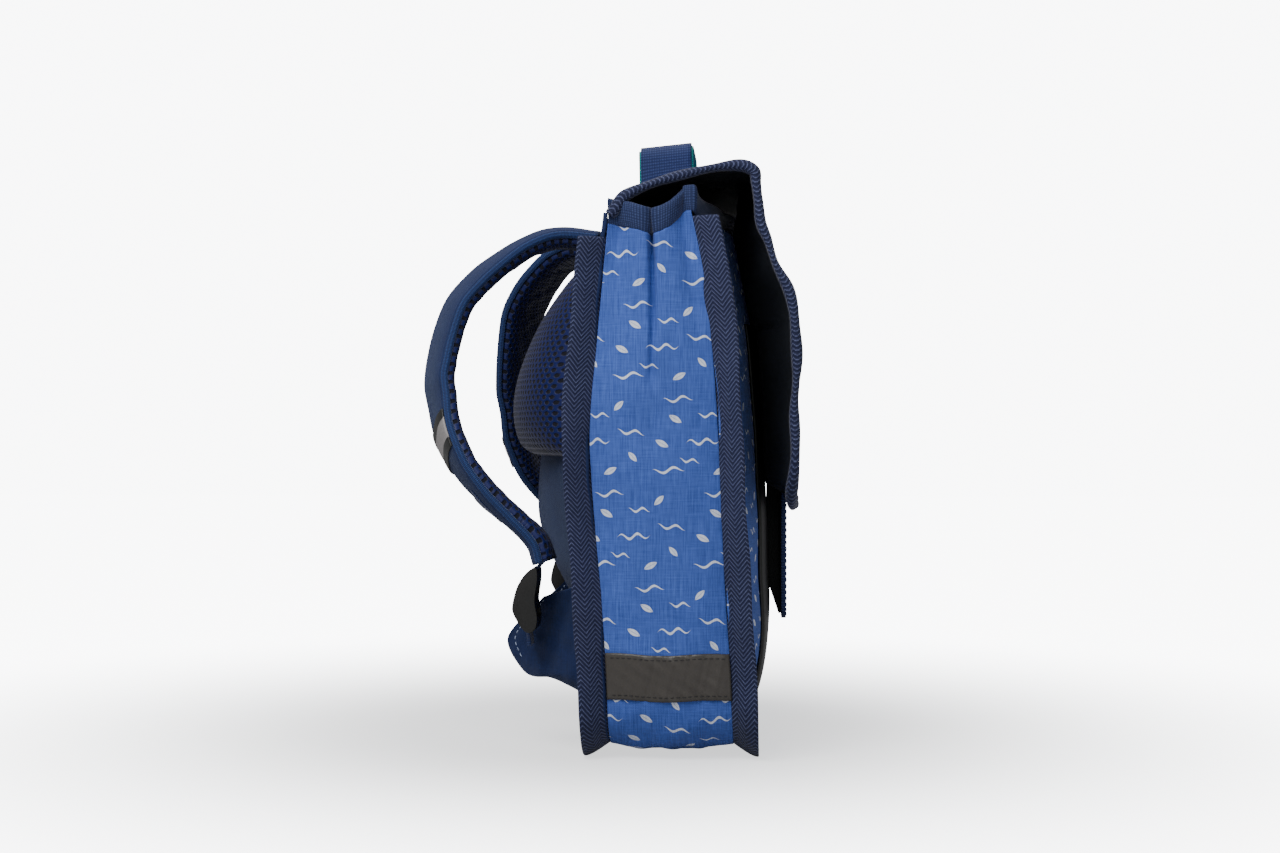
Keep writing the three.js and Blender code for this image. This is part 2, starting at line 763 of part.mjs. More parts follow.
// Handle: a webbing loop across the top, with a coloured backing inside it
function flapTopAt(x, y) {
  const halvings = 20;
  let low = 0;
  let high = flapTopEndShare;
  for (let turn = 0; turn < halvings; turn += 1) {
    const middle = (low + high) / 2;
    if (flapFace(x, middle).y > y) {
      low = middle;
    } else {
      high = middle;
    }
  }
  return flapFace(x, low).z;
}

function handleGeometry(inset, thickness) {
  const centreY = backY(mouthHeight) - handleForward;
  const topZ = flapTopAt(0, centreY) + handleRise;
  const half = handleSpan / 2 - handleCorner;
  const corner = steps(3).map((share) => {
    const angle = (Math.PI / 2) * share;
    return { x: -half - handleCorner * Math.cos(angle), rise: handleCorner * Math.sin(angle), angle };
  });
  const leg = [0, 0.5].map((share) => ({ x: -handleSpan / 2, share, angle: 0 }));
  const footZ = flapTopAt(handleSpan / 2, centreY);
  const bendZ = topZ - handleCorner;
  const near = [
    ...leg.map(({ x, share, angle }) => ({ x, z: THREE.MathUtils.lerp(footZ, bendZ, share), angle })),
    ...corner.map(({ x, rise, angle }) => ({ x, z: bendZ + rise, angle })),
  ];
  const far = near.map(({ x, z, angle }) => ({ x: -x, z, angle: Math.PI - angle })).reverse();
  const seat = (place) => place.setZ(flapTopAt(place.x, place.y) + handleSeat);
  const route = [...near, ...far];
  const stations = route.map(({ x, z, angle }, index) => ({
    place: vector(x, centreY, z),
    reachWay: vector(0, 1, 0),
    liftWay: vector(-Math.cos(angle), 0, Math.sin(angle)),
    fit: index === 0 || index === route.length - 1 ? seat : undefined,
  }));
  const section = [
    { reach: -handleWidth / 2, lift: -inset - thickness },
    { reach: handleWidth / 2, lift: -inset - thickness },
    { reach: handleWidth / 2, lift: -inset },
    { reach: -handleWidth / 2, lift: -inset },
  ];
  return tapeGeometry(stations, section);
}

// Shoulder straps: a padded outer body and a mesh layer on the inside
function strapLine(side, along) {
  const easing = side < 0 ? 0 : farStrapEase * Math.sin(Math.PI * along) ** 1.5;
  const spread = THREE.MathUtils.smoothstep(along, 0, 1);
  const x = side * THREE.MathUtils.lerp(strapTopSpread, strapBaseSpread, spread);
  const root = backFace(strapTopSpread, strapTop) + strapSeat;
  const height = readTable(strapSections, "along", "height", along);
  const y = root + strapReach * readTable(strapSections, "along", "out", along) - easing;
  return vector(x, y, THREE.MathUtils.lerp(strapBase, strapTop, height));
}

function strapFace(side, across, along) {
  const easing = 0.012;
  const later = strapLine(side, Math.min(along + easing, 1));
  const heading = later.sub(strapLine(side, Math.max(along - easing, 0))).normalize();
  const level = vector(1, 0, 0).addScaledVector(heading, -heading.x).normalize();
  const out = level.clone().cross(heading);
  const roll = side * strapRoll * Math.sin(Math.PI * along);
  const widthWay = level.multiplyScalar(Math.cos(roll)).addScaledVector(out, Math.sin(roll));
  const outWay = widthWay.clone().cross(heading).normalize();
  const taper = THREE.MathUtils.smoothstep(along, strapTaperStartShare, 1);
  const width = THREE.MathUtils.lerp(strapWidth, strapEndWidth, taper);
  return strapLine(side, along)
    .addScaledVector(widthWay, (across - 0.5) * width)
    .addScaledVector(outWay, (strapPadding + strapMesh) / 2);
}

const strapColumns = [0, 0.12, 0.5, 0.88, 1];
const strapRows = steps(22);

function strapEdge(across) {
  return strapEdgeRounding * Math.abs(2 * across - 1) ** 4;
}

function strapLayerGeometry(side, near, far, rows = strapRows) {
  const point = (u, v) => strapFace(side, u, v);
  return wallGeometry({ point, columns: strapColumns, rows, near, far, easing: 0.01 });
}

function strapPaddingGeometry(side) {
  return strapLayerGeometry(side, strapEdge, strapPadding);
}

function strapMeshGeometry(side) {
  const far = (across) => strapPadding + gap + strapMesh - strapEdge(across);
  return strapLayerGeometry(side, strapPadding + gap, far);
}

function strapReflectorGeometry(side) {
  const near = (across) => strapEdge(across) - gap - reflectorThickness;
  const far = (across) => strapEdge(across) - gap;
  const inner = strapRows.filter((row) => row > reflectorStartShare && row < reflectorEndShare);
  return strapLayerGeometry(side, near, far, [reflectorStartShare, ...inner, reflectorEndShare]);
}

// Strap adjusters: curved plastic loops below the straps, with two slots for the webbing
function adjusterPlace(side) {
  const y = strapLine(side, 1).y + adjusterShift;
  return vector(side * strapBaseSpread, y, strapBase - strapEndDrop - adjusterHeight);
}

function adjusterGeometry(side) {
  const outline = adjusterOutline.map(
    ({ out, up }) => new THREE.Vector2(out * adjusterDepth, up * adjusterHeight),
  );
  const shape = new THREE.Shape().setFromPoints(new THREE.SplineCurve([...outline, outline[0]])
    .getPoints(adjusterSteps)
    .slice(0, -1));
  const place = adjusterPlace(side);
  const toFrame = new THREE.Matrix4().makeBasis(vector(0, 1, 0), vector(0, 0, 1), vector(1, 0, 0));
  const body = new THREE.ExtrudeGeometry(shape, { depth: adjusterWidth, bevelEnabled: false })
    .applyMatrix4(toFrame)
    .translate(place.x - adjusterWidth / 2, place.y, place.z);
  const slotWidth = adjusterWidth - 2 * adjusterSlot;
  let solid = solidOf(body);
  for (const up of adjusterSlotShares) {
    const slot = new THREE.BoxGeometry(slotWidth, 3 * adjusterDepth, adjusterSlot)
      .translate(place.x, place.y, place.z + up * adjusterHeight);
    solid = solid.subtract(solidOf(slot));
  }
  return geometryOf(solid);
}

// Side wings: folded triangles of cloth beside the lower back seams, which hold the webbing
function wingSeat(z) {
  return backFace(wingSeatSpread, z) + wingGap;
}

function wingFace(side, across, along) {
  const seatZ = THREE.MathUtils.lerp(wingTop, wingBase, along);
  const share = readTable(wingSections, "along", "height", along);
  const edgeZ = THREE.MathUtils.lerp(wingBase, wingTop, share);
  const edgeY = wingSeat(edgeZ) + wingReach * readTable(wingSections, "along", "reach", along);
  const y = THREE.MathUtils.lerp(wingSeat(seatZ), edgeY, across);
  const z = THREE.MathUtils.lerp(seatZ, edgeZ, across);
  const inward = wingLean * ((y - wingSeat(z)) / wingReach);
  const fold = wingFold * Math.sin(2 * Math.PI * (along - 0.45)) * Math.sin(Math.PI * across);
  return vector(side * (wingSeatSpread - inward + fold), y, z);
}

function wingGeometry(side) {
  const point = (u, v) => wingFace(side, u, v);
  const rows = wingSections.map((row) => row.along);
  const columns = [0, 0.3, 0.55, 0.78, 1];
  return wallGeometry({ point, columns, rows, near: -wingWall / 2, far: wingWall / 2 });
}

function lowerWebbingGeometry(side) {
  const place = adjusterPlace(side);
  const y = place.y + webbingSeatShare * adjusterDepth;
  const share = (y - wingSeat(wingBase)) / wingReach;
  const wingX = wingSeatSpread - wingLean * share;
  const half = webbingWidth / 2;
  const lowX = wingX + wingWall / 2 + wingFold + gap + half;
  const lowZ = place.z - webbingDrop;
  const section = [
    { reach: -half, lift: -webbingThickness / 2 },
    { reach: half, lift: -webbingThickness / 2 },
    { reach: half, lift: webbingThickness / 2 },
    { reach: -half, lift: webbingThickness / 2 },
  ];
  const stations = [
    { x: place.x, z: place.z - gap },
    { x: side * (lowX + webbingThickness), z: THREE.MathUtils.lerp(place.z, lowZ, webbingBendShare) },
    { x: side * lowX, z: lowZ },
  ].map(({ x, z }) => ({
    place: vector(x, y, z),
    reachWay: vector(1, 0, 0),
    liftWay: vector(0, 1, 0),
  }));
  return tapeGeometry(stations, section);
}

// Finishes
const finishes = {
  printedCanvas: { color: 0x2f66b4, roughness: 0.85 },
  navyCanvas: { color: 0x1d2f66, roughness: 0.85 },
  navyBinding: { color: 0x27325e, roughness: 0.8 },
  navyWebbing: { color: 0x2a3768, roughness: 0.8 },
  tealBacking: { color: 0x149a94, roughness: 0.7 },
  blackLining: { color: 0x0b0b0e, roughness: 0.7 },
  blackVinyl: { color: 0x151517, roughness: 0.35 },
  navyMesh: { color: 0x15226b, roughness: 0.9 },
  greyReflective: { color: 0x4a4540, roughness: 0.45 },
  silverReflective: { color: 0x9a9b9c, roughness: 0.4 },
  brownPlastic: { color: 0x241f1b, roughness: 0.5 },
};

const group = new THREE.Group();

function addPiece(name, geometry, finish) {
  const material = new THREE.MeshStandardMaterial({ ...finishes[finish], metalness: 0 });
  const piece = new THREE.Mesh(geometry, material);
  piece.name = name;
  group.add(piece);
}

const frontTop = panelEdge(0.9);
const liningStart = flapWall + gap;

addPiece("bottom_panel", bottomPanelGeometry(), "printedCanvas");
addPiece(
  "front_panel",
  layerGeometry({
    face: frontFace,
    facing: -1,
    base: seamHeight,
    top: frontTop,
    from: -canvasWall,
    to: 0,
  }),
  "printedCanvas",
);
addPiece(
  "back_panel",
  layerGeometry({
    face: backFace,
    facing: 1,
    base: seamHeight,
    top: mouthAt(0),
    from: -backWall,
    to: 0,
  }),
  "navyCanvas",
);
addPiece(
  "front_centre_panel",
  layerGeometry({
    face: frontFace,
    facing: -1,
    base: centrePanelBase,
    top: centrePanelTop,
    half: centrePanelShare,
    from: gap,
    to: gap + centrePanelThickness,
  }),
  "blackVinyl",
);
addPiece("back_pad", backPadGeometry(), "navyMesh");
addPiece("back_seam_binding", seamBindingGeometry(backY, 1, panelEdge(0)), "navyBinding");
addPiece("front_seam_binding", seamBindingGeometry(frontY, -1, panelEdge(1)), "navyBinding");
addPiece("mouth_tape", mouthTapeGeometry(), "navyBinding");
addPiece("flap", flapLayerGeometry(0, flapWall), "printedCanvas");
addPiece("flap_lining", flapLayerGeometry(liningStart, liningStart + liningWall), "blackLining");
addPiece("flap_binding", flapBindingGeometry(), "navyBinding");
addPiece("closure_tab", tabGeometry(), "navyCanvas");
addPiece("closure_tab_back", tabBackGeometry(), "blackLining");
addPiece("handle_webbing", handleGeometry(0, webbingThickness), "navyWebbing");
addPiece("handle_backing", handleGeometry(webbingThickness + gap, backingThickness), "tealBacking");

for (const [side, label] of [[-1, "near"], [1, "far"]]) {
  addPiece(`side_panel_${label}`, sidePanelGeometry(side), "printedCanvas");
  addPiece(`side_tape_${label}`, sideTapeGeometry(side), "greyReflective");
  addPiece(`strap_${label}`, strapPaddingGeometry(side), "navyCanvas");
  addPiece(`strap_mesh_${label}`, strapMeshGeometry(side), "navyMesh");
  addPiece(`strap_reflector_${label}`, strapReflectorGeometry(side), "silverReflective");
  addPiece(`strap_adjuster_${label}`, adjusterGeometry(side), "brownPlastic");
  addPiece(`side_wing_${label}`, wingGeometry(side), "navyCanvas");
  addPiece(`lower_webbing_${label}`, lowerWebbingGeometry(side), "navyWebbing");
}

// The origin is the centre of the footprint of the whole ransel, on the surface it stands on.
group.updateMatrixWorld(true);
const bounds = new THREE.Box3().setFromObject(group, true);
const centre = bounds.getCenter(new THREE.Vector3());
group.position.set(-centre.x, -centre.y, -bounds.min.z);

export default group;
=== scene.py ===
# %% [markdown]
# # A child's ransel, dressed for its portrait
# A ransel is a small satchel that is worn on the back. This one has a stuffed canvas body, bound
# seams, a flap that wraps over the front and two padded shoulder straps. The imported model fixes
# where everything is. This lesson rebuilds each cloth piece as a fine mesh in the same place,
# and gives it thread, print, mesh or webbing at its real scale.

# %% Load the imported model
import math

import bmesh
import bpy
import numpy as np
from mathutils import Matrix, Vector


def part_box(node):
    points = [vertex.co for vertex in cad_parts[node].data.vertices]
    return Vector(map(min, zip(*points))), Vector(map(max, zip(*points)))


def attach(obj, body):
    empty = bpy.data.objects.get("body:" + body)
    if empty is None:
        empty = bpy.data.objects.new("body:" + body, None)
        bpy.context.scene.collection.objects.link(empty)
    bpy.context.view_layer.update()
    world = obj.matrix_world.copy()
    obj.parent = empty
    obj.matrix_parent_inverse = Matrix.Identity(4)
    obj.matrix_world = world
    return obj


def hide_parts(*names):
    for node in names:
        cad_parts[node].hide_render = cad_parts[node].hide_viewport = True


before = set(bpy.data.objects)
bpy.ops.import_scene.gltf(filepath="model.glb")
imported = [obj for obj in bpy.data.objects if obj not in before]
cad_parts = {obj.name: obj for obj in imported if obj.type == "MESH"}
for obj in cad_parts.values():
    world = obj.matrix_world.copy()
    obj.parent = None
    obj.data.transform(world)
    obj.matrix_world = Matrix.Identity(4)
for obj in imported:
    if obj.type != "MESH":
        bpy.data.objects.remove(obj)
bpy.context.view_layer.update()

# %% [markdown]
# ## Camera
# The bag was photographed level with its side, from a little in front of it. A focal length of 57
# mm on a 36 mm frame gives that perspective. The camera comes first.

# %% Make the camera
MM = 0.001
SHIFT_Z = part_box("front_panel")[0].z / MM - 8.0
SHIFT_Y = -31.98
SIDES = ((-1, "near"), (1, "far"))


def place(x, y, z):
    """A point in metres from the bag's own millimetres: y from mid-depth, z from the seams."""
    return Vector((x * MM, (y + SHIFT_Y) * MM, (z + SHIFT_Z) * MM))


camera_data = bpy.data.cameras.new("portrait_camera")
camera_data.lens = 57.0
camera_data.sensor_width = 36.0
camera = bpy.data.objects.new("portrait_camera", camera_data)
bpy.context.scene.collection.objects.link(camera)
camera.location = place(-1200.0, -50.0, 180.0)
turn = math.radians(3.24)
heading = Vector((math.cos(turn), math.sin(turn), 0.0))
camera.rotation_euler = heading.to_track_quat("-Z", "Y").to_euler()
camera_data.clip_start = 0.05
camera_data.clip_end = 20.0
bpy.context.scene.camera = camera
print("camera at", [round(value, 3) for value in camera.location])

# %% [markdown]
# ## Floor and light
# The ground is flat and pale, and away from the bag it glows up to the white of the room, so no
# horizon shows. That glow reaches the camera alone and lights nothing. Cloth shows its weave best
# in soft light that grazes it, so the key lamp stands above the near side toward the back. A weak
# lamp fills from the front, a wide one hangs above, and the world adds a little even light.

# %% Build the floor and the lamps
def principled(name, color, roughness=0.8):
    """A material with its Principled BSDF, and that shader's node."""
    material = bpy.data.materials.new(name)
    material.use_nodes = True
    shader = material.node_tree.nodes["Principled BSDF"]
    shader.inputs["Base Color"].default_value = (*color, 1.0)
    shader.inputs["Roughness"].default_value = roughness
    return material, shader


WHITE = 9.0
EVEN_LIGHT = 0.34
FADE_START, FADE_END = 0.1, 0.6
PALE = (0.97, 0.98, 1.0, 1.0)
floor_material, floor_shader = principled("pale_studio_ground", (0.5, 0.5, 0.5), 0.9)
floor_shader.inputs["Specular IOR Level"].default_value = 0.1
tree = floor_material.node_tree
spot = tree.nodes.new("ShaderNodeTexCoord")
away = tree.nodes.new("ShaderNodeVectorMath")
away.operation = "LENGTH"
fade = tree.nodes.new("ShaderNodeMapRange")
fade.interpolation_type = "SMOOTHSTEP"
fade.inputs["From Min"].default_value = FADE_START
fade.inputs["From Max"].default_value = FADE_END
fade.inputs["To Min"].default_value = 1.2
fade.inputs["To Max"].default_value = WHITE
ray = tree.nodes.new("ShaderNodeLightPath")
glow = tree.nodes.new("ShaderNodeMath")
glow.operation = "MULTIPLY"
tree.links.new(spot.outputs["Object"], away.inputs[0])
tree.links.new(away.outputs["Value"], fade.inputs["Value"])
tree.links.new(fade.outputs["Result"], glow.inputs[0])
tree.links.new(ray.outputs["Is Camera Ray"], glow.inputs[1])
tree.links.new(glow.outputs["Value"], floor_shader.inputs["Emission Strength"])
floor_shader.inputs["Emission Color"].default_value = PALE
floor_mesh = bpy.data.meshes.new("studio_floor")
floor_mesh.from_pydata([(-4, -4, 0), (4, -4, 0), (4, 4, 0), (-4, 4, 0)], [], [(0, 1, 2, 3)])
floor = bpy.data.objects.new("studio_floor", floor_mesh)
floor_mesh.materials.append(floor_material)
bpy.context.scene.collection.objects.link(floor)

world = bpy.data.worlds.new("soft_room")
world.use_nodes = True
backing = world.node_tree.nodes["Background"]
backing.inputs["Color"].default_value = PALE
ray = world.node_tree.nodes.new("ShaderNodeLightPath")
power = world.node_tree.nodes.new("ShaderNodeMapRange")
power.inputs["To Min"].default_value = EVEN_LIGHT
power.inputs["To Max"].default_value = WHITE
world.node_tree.links.new(ray.outputs["Is Camera Ray"], power.inputs["Value"])
world.node_tree.links.new(power.outputs["Result"], backing.inputs["Strength"])
bpy.context.scene.world = world


def soft_lamp(name, location, target, size, power):
    """A square area lamp that looks at a target."""
    lamp = bpy.data.lights.new(name, "AREA")
    lamp.shape = "SQUARE"
    lamp.size = size
    lamp.energy = power
    lamp_object = bpy.data.objects.new(name, lamp)
    lamp_object.location = location
    aim = Vector(target) - Vector(location)
    lamp_object.rotation_euler = aim.to_track_quat("-Z", "Y").to_euler()
    bpy.context.scene.collection.objects.link(lamp_object)
    return lamp_object


soft_lamp("key_lamp", (-0.75, 0.3, 0.95), (0, 0, 0.24), 0.6, 12)
soft_lamp("fill_lamp", (-1.3, -0.7, 0.6), (0, 0, 0.2), 0.9, 3)
soft_lamp("top_lamp", (0.3, 0.1, 1.3), (0, 0, 0.2), 1.0, 7)

# %% [markdown]
# ## Reading a curve from a table
# The bag's outline was measured at a few heights. A smooth curve through such a table gives every
# height between them. The curve used here never asks for slopes: it takes them from the
# neighbouring rows, so a table can be edited by hand without breaking the shape.

# %% Smooth table reading
def read(table, key, column, where):
    """Smooth value of one column of a table, for a number or an array of places."""
    where = np.atleast_1d(np.asarray(where, float))
    keys = np.array([row[key] for row in table])
    values = np.array([row[column] for row in table])
    row = np.clip(np.searchsorted(keys, where, side="left") - 1, 0, len(keys) - 2)
    before = np.maximum(row - 1, 0)
    after = np.minimum(row + 2, len(keys) - 1)
    span = keys[row + 1] - keys[row]
    share = np.clip((where - keys[row]) / span, 0, 1)
    start = (values[row + 1] - values[before]) / (keys[row + 1] - keys[before]) * span
    end = (values[after] - values[row]) / (keys[after] - keys[row]) * span
    square, cube = share**2, share**3
    return (
        (2 * cube - 3 * square + 1) * values[row]
        + (cube - 2 * square + share) * start
        + (3 * square - 2 * cube) * values[row + 1]
        + (cube - square) * end
    )


def table_of(names, rows):
    """A table as a list of rows with named columns."""
    return [dict(zip(names, row)) for row in rows]


def ease(low, high, value):
    """0 below low, 1 above high and a smooth step between."""
    share = np.clip((np.asarray(value, float) - low) / (high - low), 0, 1)
    return share * share * (3 - 2 * share)


def bump_at(value, centre, width):
    """A smooth hump of height 1 around a centre."""
    return np.exp(-(((np.asarray(value, float) - centre) / width) ** 2))


# %% [markdown]
# ## Slow ripples
# Real cloth is never quite even. A sum of a few long sine waves with fixed, unrelated lengths
# looks random, costs nothing and is the same in every run, so it is used in place of noise
# wherever a mesh needs small ripples.

# %% Ripples from sine waves
WAVES = ((1.0, 0.37, 0.0), (0.63, -0.91, 1.7), (-0.52, 1.31, 4.1), (1.73, 0.58, 2.9))


def ripple(u, v, length, phase=0.0):
    """Even-handed ripples between about -1 and 1, with the wavelength in the unit of u and v."""
    u, v = np.asarray(u, float), np.asarray(v, float)
    total = 0.0
    for across, along, start in WAVES:
        total = total + np.sin(2 * np.pi * (u * across + v * along) / length + start + phase)
    return total / 2.6


# %% [markdown]
# ## Sheets and tapes
# Nearly every piece of a bag is a sheet or a tape. Both come from a grid of points: a sheet has a
# face and a back, closed at the edges, and a tape is a section swept along a line. The UV map is
# laid out in metres of real cloth, so a thread or a printed leaf has one size on every piece.

# %% Mesh helpers
def new_object(name, vertices, faces, uvs):
    """A smooth mesh object from points in metres, faces and one UV pair per point of the grid."""
    mesh = bpy.data.meshes.new(name)
    mesh.from_pydata([tuple(point) for point in vertices], [], faces)
    layer = mesh.uv_layers.new(name="cloth")
    order = np.empty(len(mesh.loops), np.int32)
    mesh.loops.foreach_get("vertex_index", order)
    layer.data.foreach_set("uv", np.asarray(uvs, np.float32)[order].ravel())
    mesh.polygons.foreach_set("use_smooth", [True] * len(mesh.polygons))
    mesh.update()
    thing = bpy.data.objects.new(name, mesh)
    bpy.context.scene.collection.objects.link(thing)
    return thing


def to_metres(points):
    """Grid points in the bag's millimetres, moved to the model's frame in metres."""
    return (points + np.array([0.0, SHIFT_Y, SHIFT_Z])) * MM


def run_of(line):
    """Length along a line of points, from its start to each of them."""
    return np.concatenate([[0], np.cumsum(np.linalg.norm(np.diff(line, axis=0), axis=1))])


def line_at(line, run, where):
    """Points of a line at given lengths along it."""
    return np.stack([np.interp(where, run, column) for column in line.T], axis=-1)


def full_turn(count):
    return np.linspace(0, 2 * math.pi, count, endpoint=False)


def grid_normals(points):
    """Unit normals of a grid of points with rows first."""
    along = np.gradient(points, axis=0)
    across = np.gradient(points, axis=1)
    normal = np.cross(across, along)
    return normal / np.maximum(np.linalg.norm(normal, axis=2, keepdims=True), 1e-9)


def grid_faces(rows, columns, start=0, flip=False):
    """Quads of one grid."""
    faces = []
    for j in range(rows - 1):
        for i in range(columns - 1):
            a = start + j * columns + i
            face = (a, a + 1, a + columns + 1, a + columns)
            faces.append(face[::-1] if flip else face)
    return faces


def sheet_object(name, face, back, uv):
    """A closed sheet between a face grid and a back grid, with cloth UVs in millimetres."""
    rows, columns = face.shape[:2]
    count = rows * columns
    faces = grid_faces(rows, columns) + grid_faces(rows, columns, count, flip=True)
    edge = [(i, i + 1) for i in range(columns - 1)]
    edge += [((j + 1) * columns - 1, (j + 2) * columns - 1) for j in range(rows - 1)]
    edge += [((rows - 1) * columns + i + 1, (rows - 1) * columns + i) for i in range(columns - 1)]
    edge += [((j + 1) * columns, j * columns) for j in range(rows - 1)]
    faces += [(b, a, a + count, b + count) for a, b in edge]
    points = np.concatenate([face.reshape(-1, 3), back.reshape(-1, 3)])
    flat = np.asarray(uv, float).reshape(-1, 2) * MM
    thing = new_object(name, to_metres(points), faces, np.concatenate([flat, flat]))
    return outward(thing)


def two_layers(name, grid, outer, inner, turned=False):
    """A closed sheet between two lifts of a function that gives points and cloth UVs."""
    face, uv = grid(outer)
    back, _ = grid(inner)
    return sheet_object(name, face, back, uv[:, :, ::-1] if turned else uv)


def outward(thing):
    """Turns a closed mesh so that its faces point out."""
    mesh = thing.data
    mesh.calc_loop_triangles()
    points = np.empty(len(mesh.vertices) * 3)
    mesh.vertices.foreach_get("co", points)
    points = points.reshape(-1, 3)
    corners = np.empty(len(mesh.loop_triangles) * 3, np.int32)
    mesh.loop_triangles.foreach_get("vertices", corners)
    a, b, c = (points[corners.reshape(-1, 3)[:, k]] for k in range(3))
    if np.einsum("ij,ij->i", a, np.cross(b, c)).sum() < 0:
        mesh.flip_normals()
    return thing


def tube_object(name, rings, uv_along, uv_around):
    """A capped tube through rings of points, with cloth UVs along and around it."""
    rings = np.asarray(rings, float)
    count, sides = rings.shape[:2]
    width = sides + 1
    points = np.concatenate([rings, rings[:, :1]], axis=1).reshape(-1, 3)
    uv = np.stack(np.broadcast_arrays(
        np.asarray(uv_along, float)[:, None], np.asarray(uv_around, float)[None, :]), axis=2)
    thing = new_object(name, to_metres(points), grid_faces(count, width), uv.reshape(-1, 2) * MM)
    work = bmesh.new()
    work.from_mesh(thing.data)
    work.verts.ensure_lookup_table()
    last = (count - 1) * width
    work.faces.new([work.verts[i] for i in range(sides - 1, -1, -1)])
    work.faces.new([work.verts[last + i] for i in range(sides)])
    for face in work.faces:
        face.smooth = True
    bmesh.ops.remove_doubles(work, verts=work.verts, dist=1e-6)
    work.to_mesh(thing.data)
    work.free()
    return outward(thing)


def finished(thing, material, slot, *nodes):
    """Gives a piece its material and its place on the body, and hides the CAD nodes that it stands
    for.
    """
    thing.data.materials.clear()
    thing.data.materials.append(material)
    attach(thing, "root")
    if nodes:
        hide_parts(*nodes)
    print(f"{thing.name}: {len(thing.data.polygons)} faces")
    return thing


# %% [markdown]
# ## Small shader toolbox
# Node groups are built in code here, so two helpers keep that readable: one makes a group with
# named sockets, the other chains math nodes. A group may only put out colours, masks, heights
# and normals. The shader itself stays in the material.

# %% Node helpers
class Weaver:
    """Adds nodes to one node tree and joins them."""

    def __init__(self, tree):
        self.tree = tree

    def node(self, kind, **settings):
        made = self.tree.nodes.new(kind)
        for key, value in settings.items():
            setattr(made, key, value)
        return made

    def feed(self, socket, value):
        if isinstance(value, bpy.types.NodeSocket):
            self.tree.links.new(value, socket)
        else:
            socket.default_value = value

    def math(self, operation, *values, clamp=False):
        made = self.node("ShaderNodeMath", operation=operation, use_clamp=clamp)
        for socket, value in zip(made.inputs, values):
            self.feed(socket, value)
        return made.outputs[0]

    def plus(self, *values, clamp=False):
        return self.math("ADD", *values, clamp=clamp)

    def minus(self, *values, clamp=False):
        return self.math("SUBTRACT", *values, clamp=clamp)

    def times(self, *values, clamp=False):
        return self.math("MULTIPLY", *values, clamp=clamp)

    def mix(self, share, low, high):
        made = self.node("ShaderNodeMix", data_type="RGBA")
        self.feed(made.inputs[0], share)
        self.feed(made.inputs[6], low)
        self.feed(made.inputs[7], high)
        return made.outputs[2]

    def noise(self, vector, scale, detail=2.0, roughness=0.5):
        made = self.node("ShaderNodeTexNoise")
        self.feed(made.inputs["Vector"], vector)
        made.inputs["Scale"].default_value = scale
        made.inputs["Detail"].default_value = detail
        made.inputs["Roughness"].default_value = roughness
        return made.outputs["Fac"]

    def stretch(self, vector, scale):
        made = self.node("ShaderNodeVectorMath", operation="MULTIPLY")
        self.feed(made.inputs[0], vector)
        made.inputs[1].default_value = scale
        return made.outputs[0]

    def split(self, vector):
        made = self.node("ShaderNodeSeparateXYZ")
        self.feed(made.inputs[0], vector)
        return made.outputs

    def join(self, x, y, z=0.0):
        made = self.node("ShaderNodeCombineXYZ")
        for socket, value in zip(made.inputs, (x, y, z)):
            self.feed(socket, value)
        return made.outputs[0]

    def bump(self, height, strength, distance):
        made = self.node("ShaderNodeBump")
        made.inputs["Strength"].default_value = strength
        made.inputs["Distance"].default_value = distance
        self.feed(made.inputs["Height"], height)
        return made.outputs["Normal"]

    def uses(self, group, **values):
        made = self.node("ShaderNodeGroup")
        made.node_tree = group
        for name, value in values.items():
            self.feed(made.inputs[name.replace("_", " ").capitalize()], value)
        return made.outputs

    def cloth(self):
        return self.node("ShaderNodeUVMap", uv_map="cloth").outputs[0]


def new_group(name, inputs, outputs):
    """A shader node group, a Weaver in it, its input sockets by name and its output node."""
    tree = bpy.data.node_groups.new(name, "ShaderNodeTree")
    kinds = {"float": "NodeSocketFloat", "vector": "NodeSocketVector", "color": "NodeSocketColor"}
    for socket, kind, default in inputs:
        made = tree.interface.new_socket(name=socket, in_out="INPUT", socket_type=kinds[kind])
        if default is not None:
            made.default_value = default
    for socket, kind in outputs:
        tree.interface.new_socket(name=socket, in_out="OUTPUT", socket_type=kinds[kind])
    weaver = Weaver(tree)
    start = tree.nodes.new("NodeGroupInput")
    end = tree.nodes.new("NodeGroupOutput")
    return tree, weaver, start.outputs, end.inputs


# %% [markdown]
# ## Plain weave
# The canvas is a plain weave of threads about half a millimetre apart. Two sine waves at right
# angles give the raised crossings, and long thin noise along each direction gives the uneven yarns
# that show as fine streaks. The group puts out a height and a colour mask. The mask holds the
# brighter yarns and painted light: raised crossings are painted lighter and sunken ones darker.

# %% Node group: plain weave
weave_group, w, given, out = new_group(
    "plain_weave",
    [("Cloth", "vector", None), ("Pitch", "float", 0.00055), ("Streaks", "float", 1.0)],
    [("Height", "float"), ("Yarns_and_crossing_light", "float")],
)
u, v, _ = w.split(given["Cloth"])
turns = w.math("DIVIDE", 2 * math.pi, given["Pitch"])
warp = w.math("SINE", w.times(u, turns))
weft = w.math("SINE", w.times(v, turns))
crossing = w.times(warp, weft)
upright = w.noise(w.stretch(given["Cloth"], (1.0, 0.045, 1.0)), 1500.0, 2.0, 0.6)
level = w.noise(w.stretch(given["Cloth"], (0.06, 1.0, 1.0)), 1300.0, 2.0, 0.6)
yarns = w.plus(w.times(upright, 0.62), w.times(level, 0.38))
yarns = w.minus(yarns, 0.5)
yarns = w.times(w.times(yarns, 3.2), given["Streaks"])
# painted light and shade on the weave: raised crossings lighter, sunken ones darker
crossing_light_and_shade = w.times(crossing, 0.3)
w.feed(out["Yarns_and_crossing_light"], w.plus(w.plus(yarns, crossing_light_and_shade), 0.5, clamp=True))
w.feed(out["Height"], w.plus(w.times(crossing, 0.5), yarns))
print("group", weave_group.name)

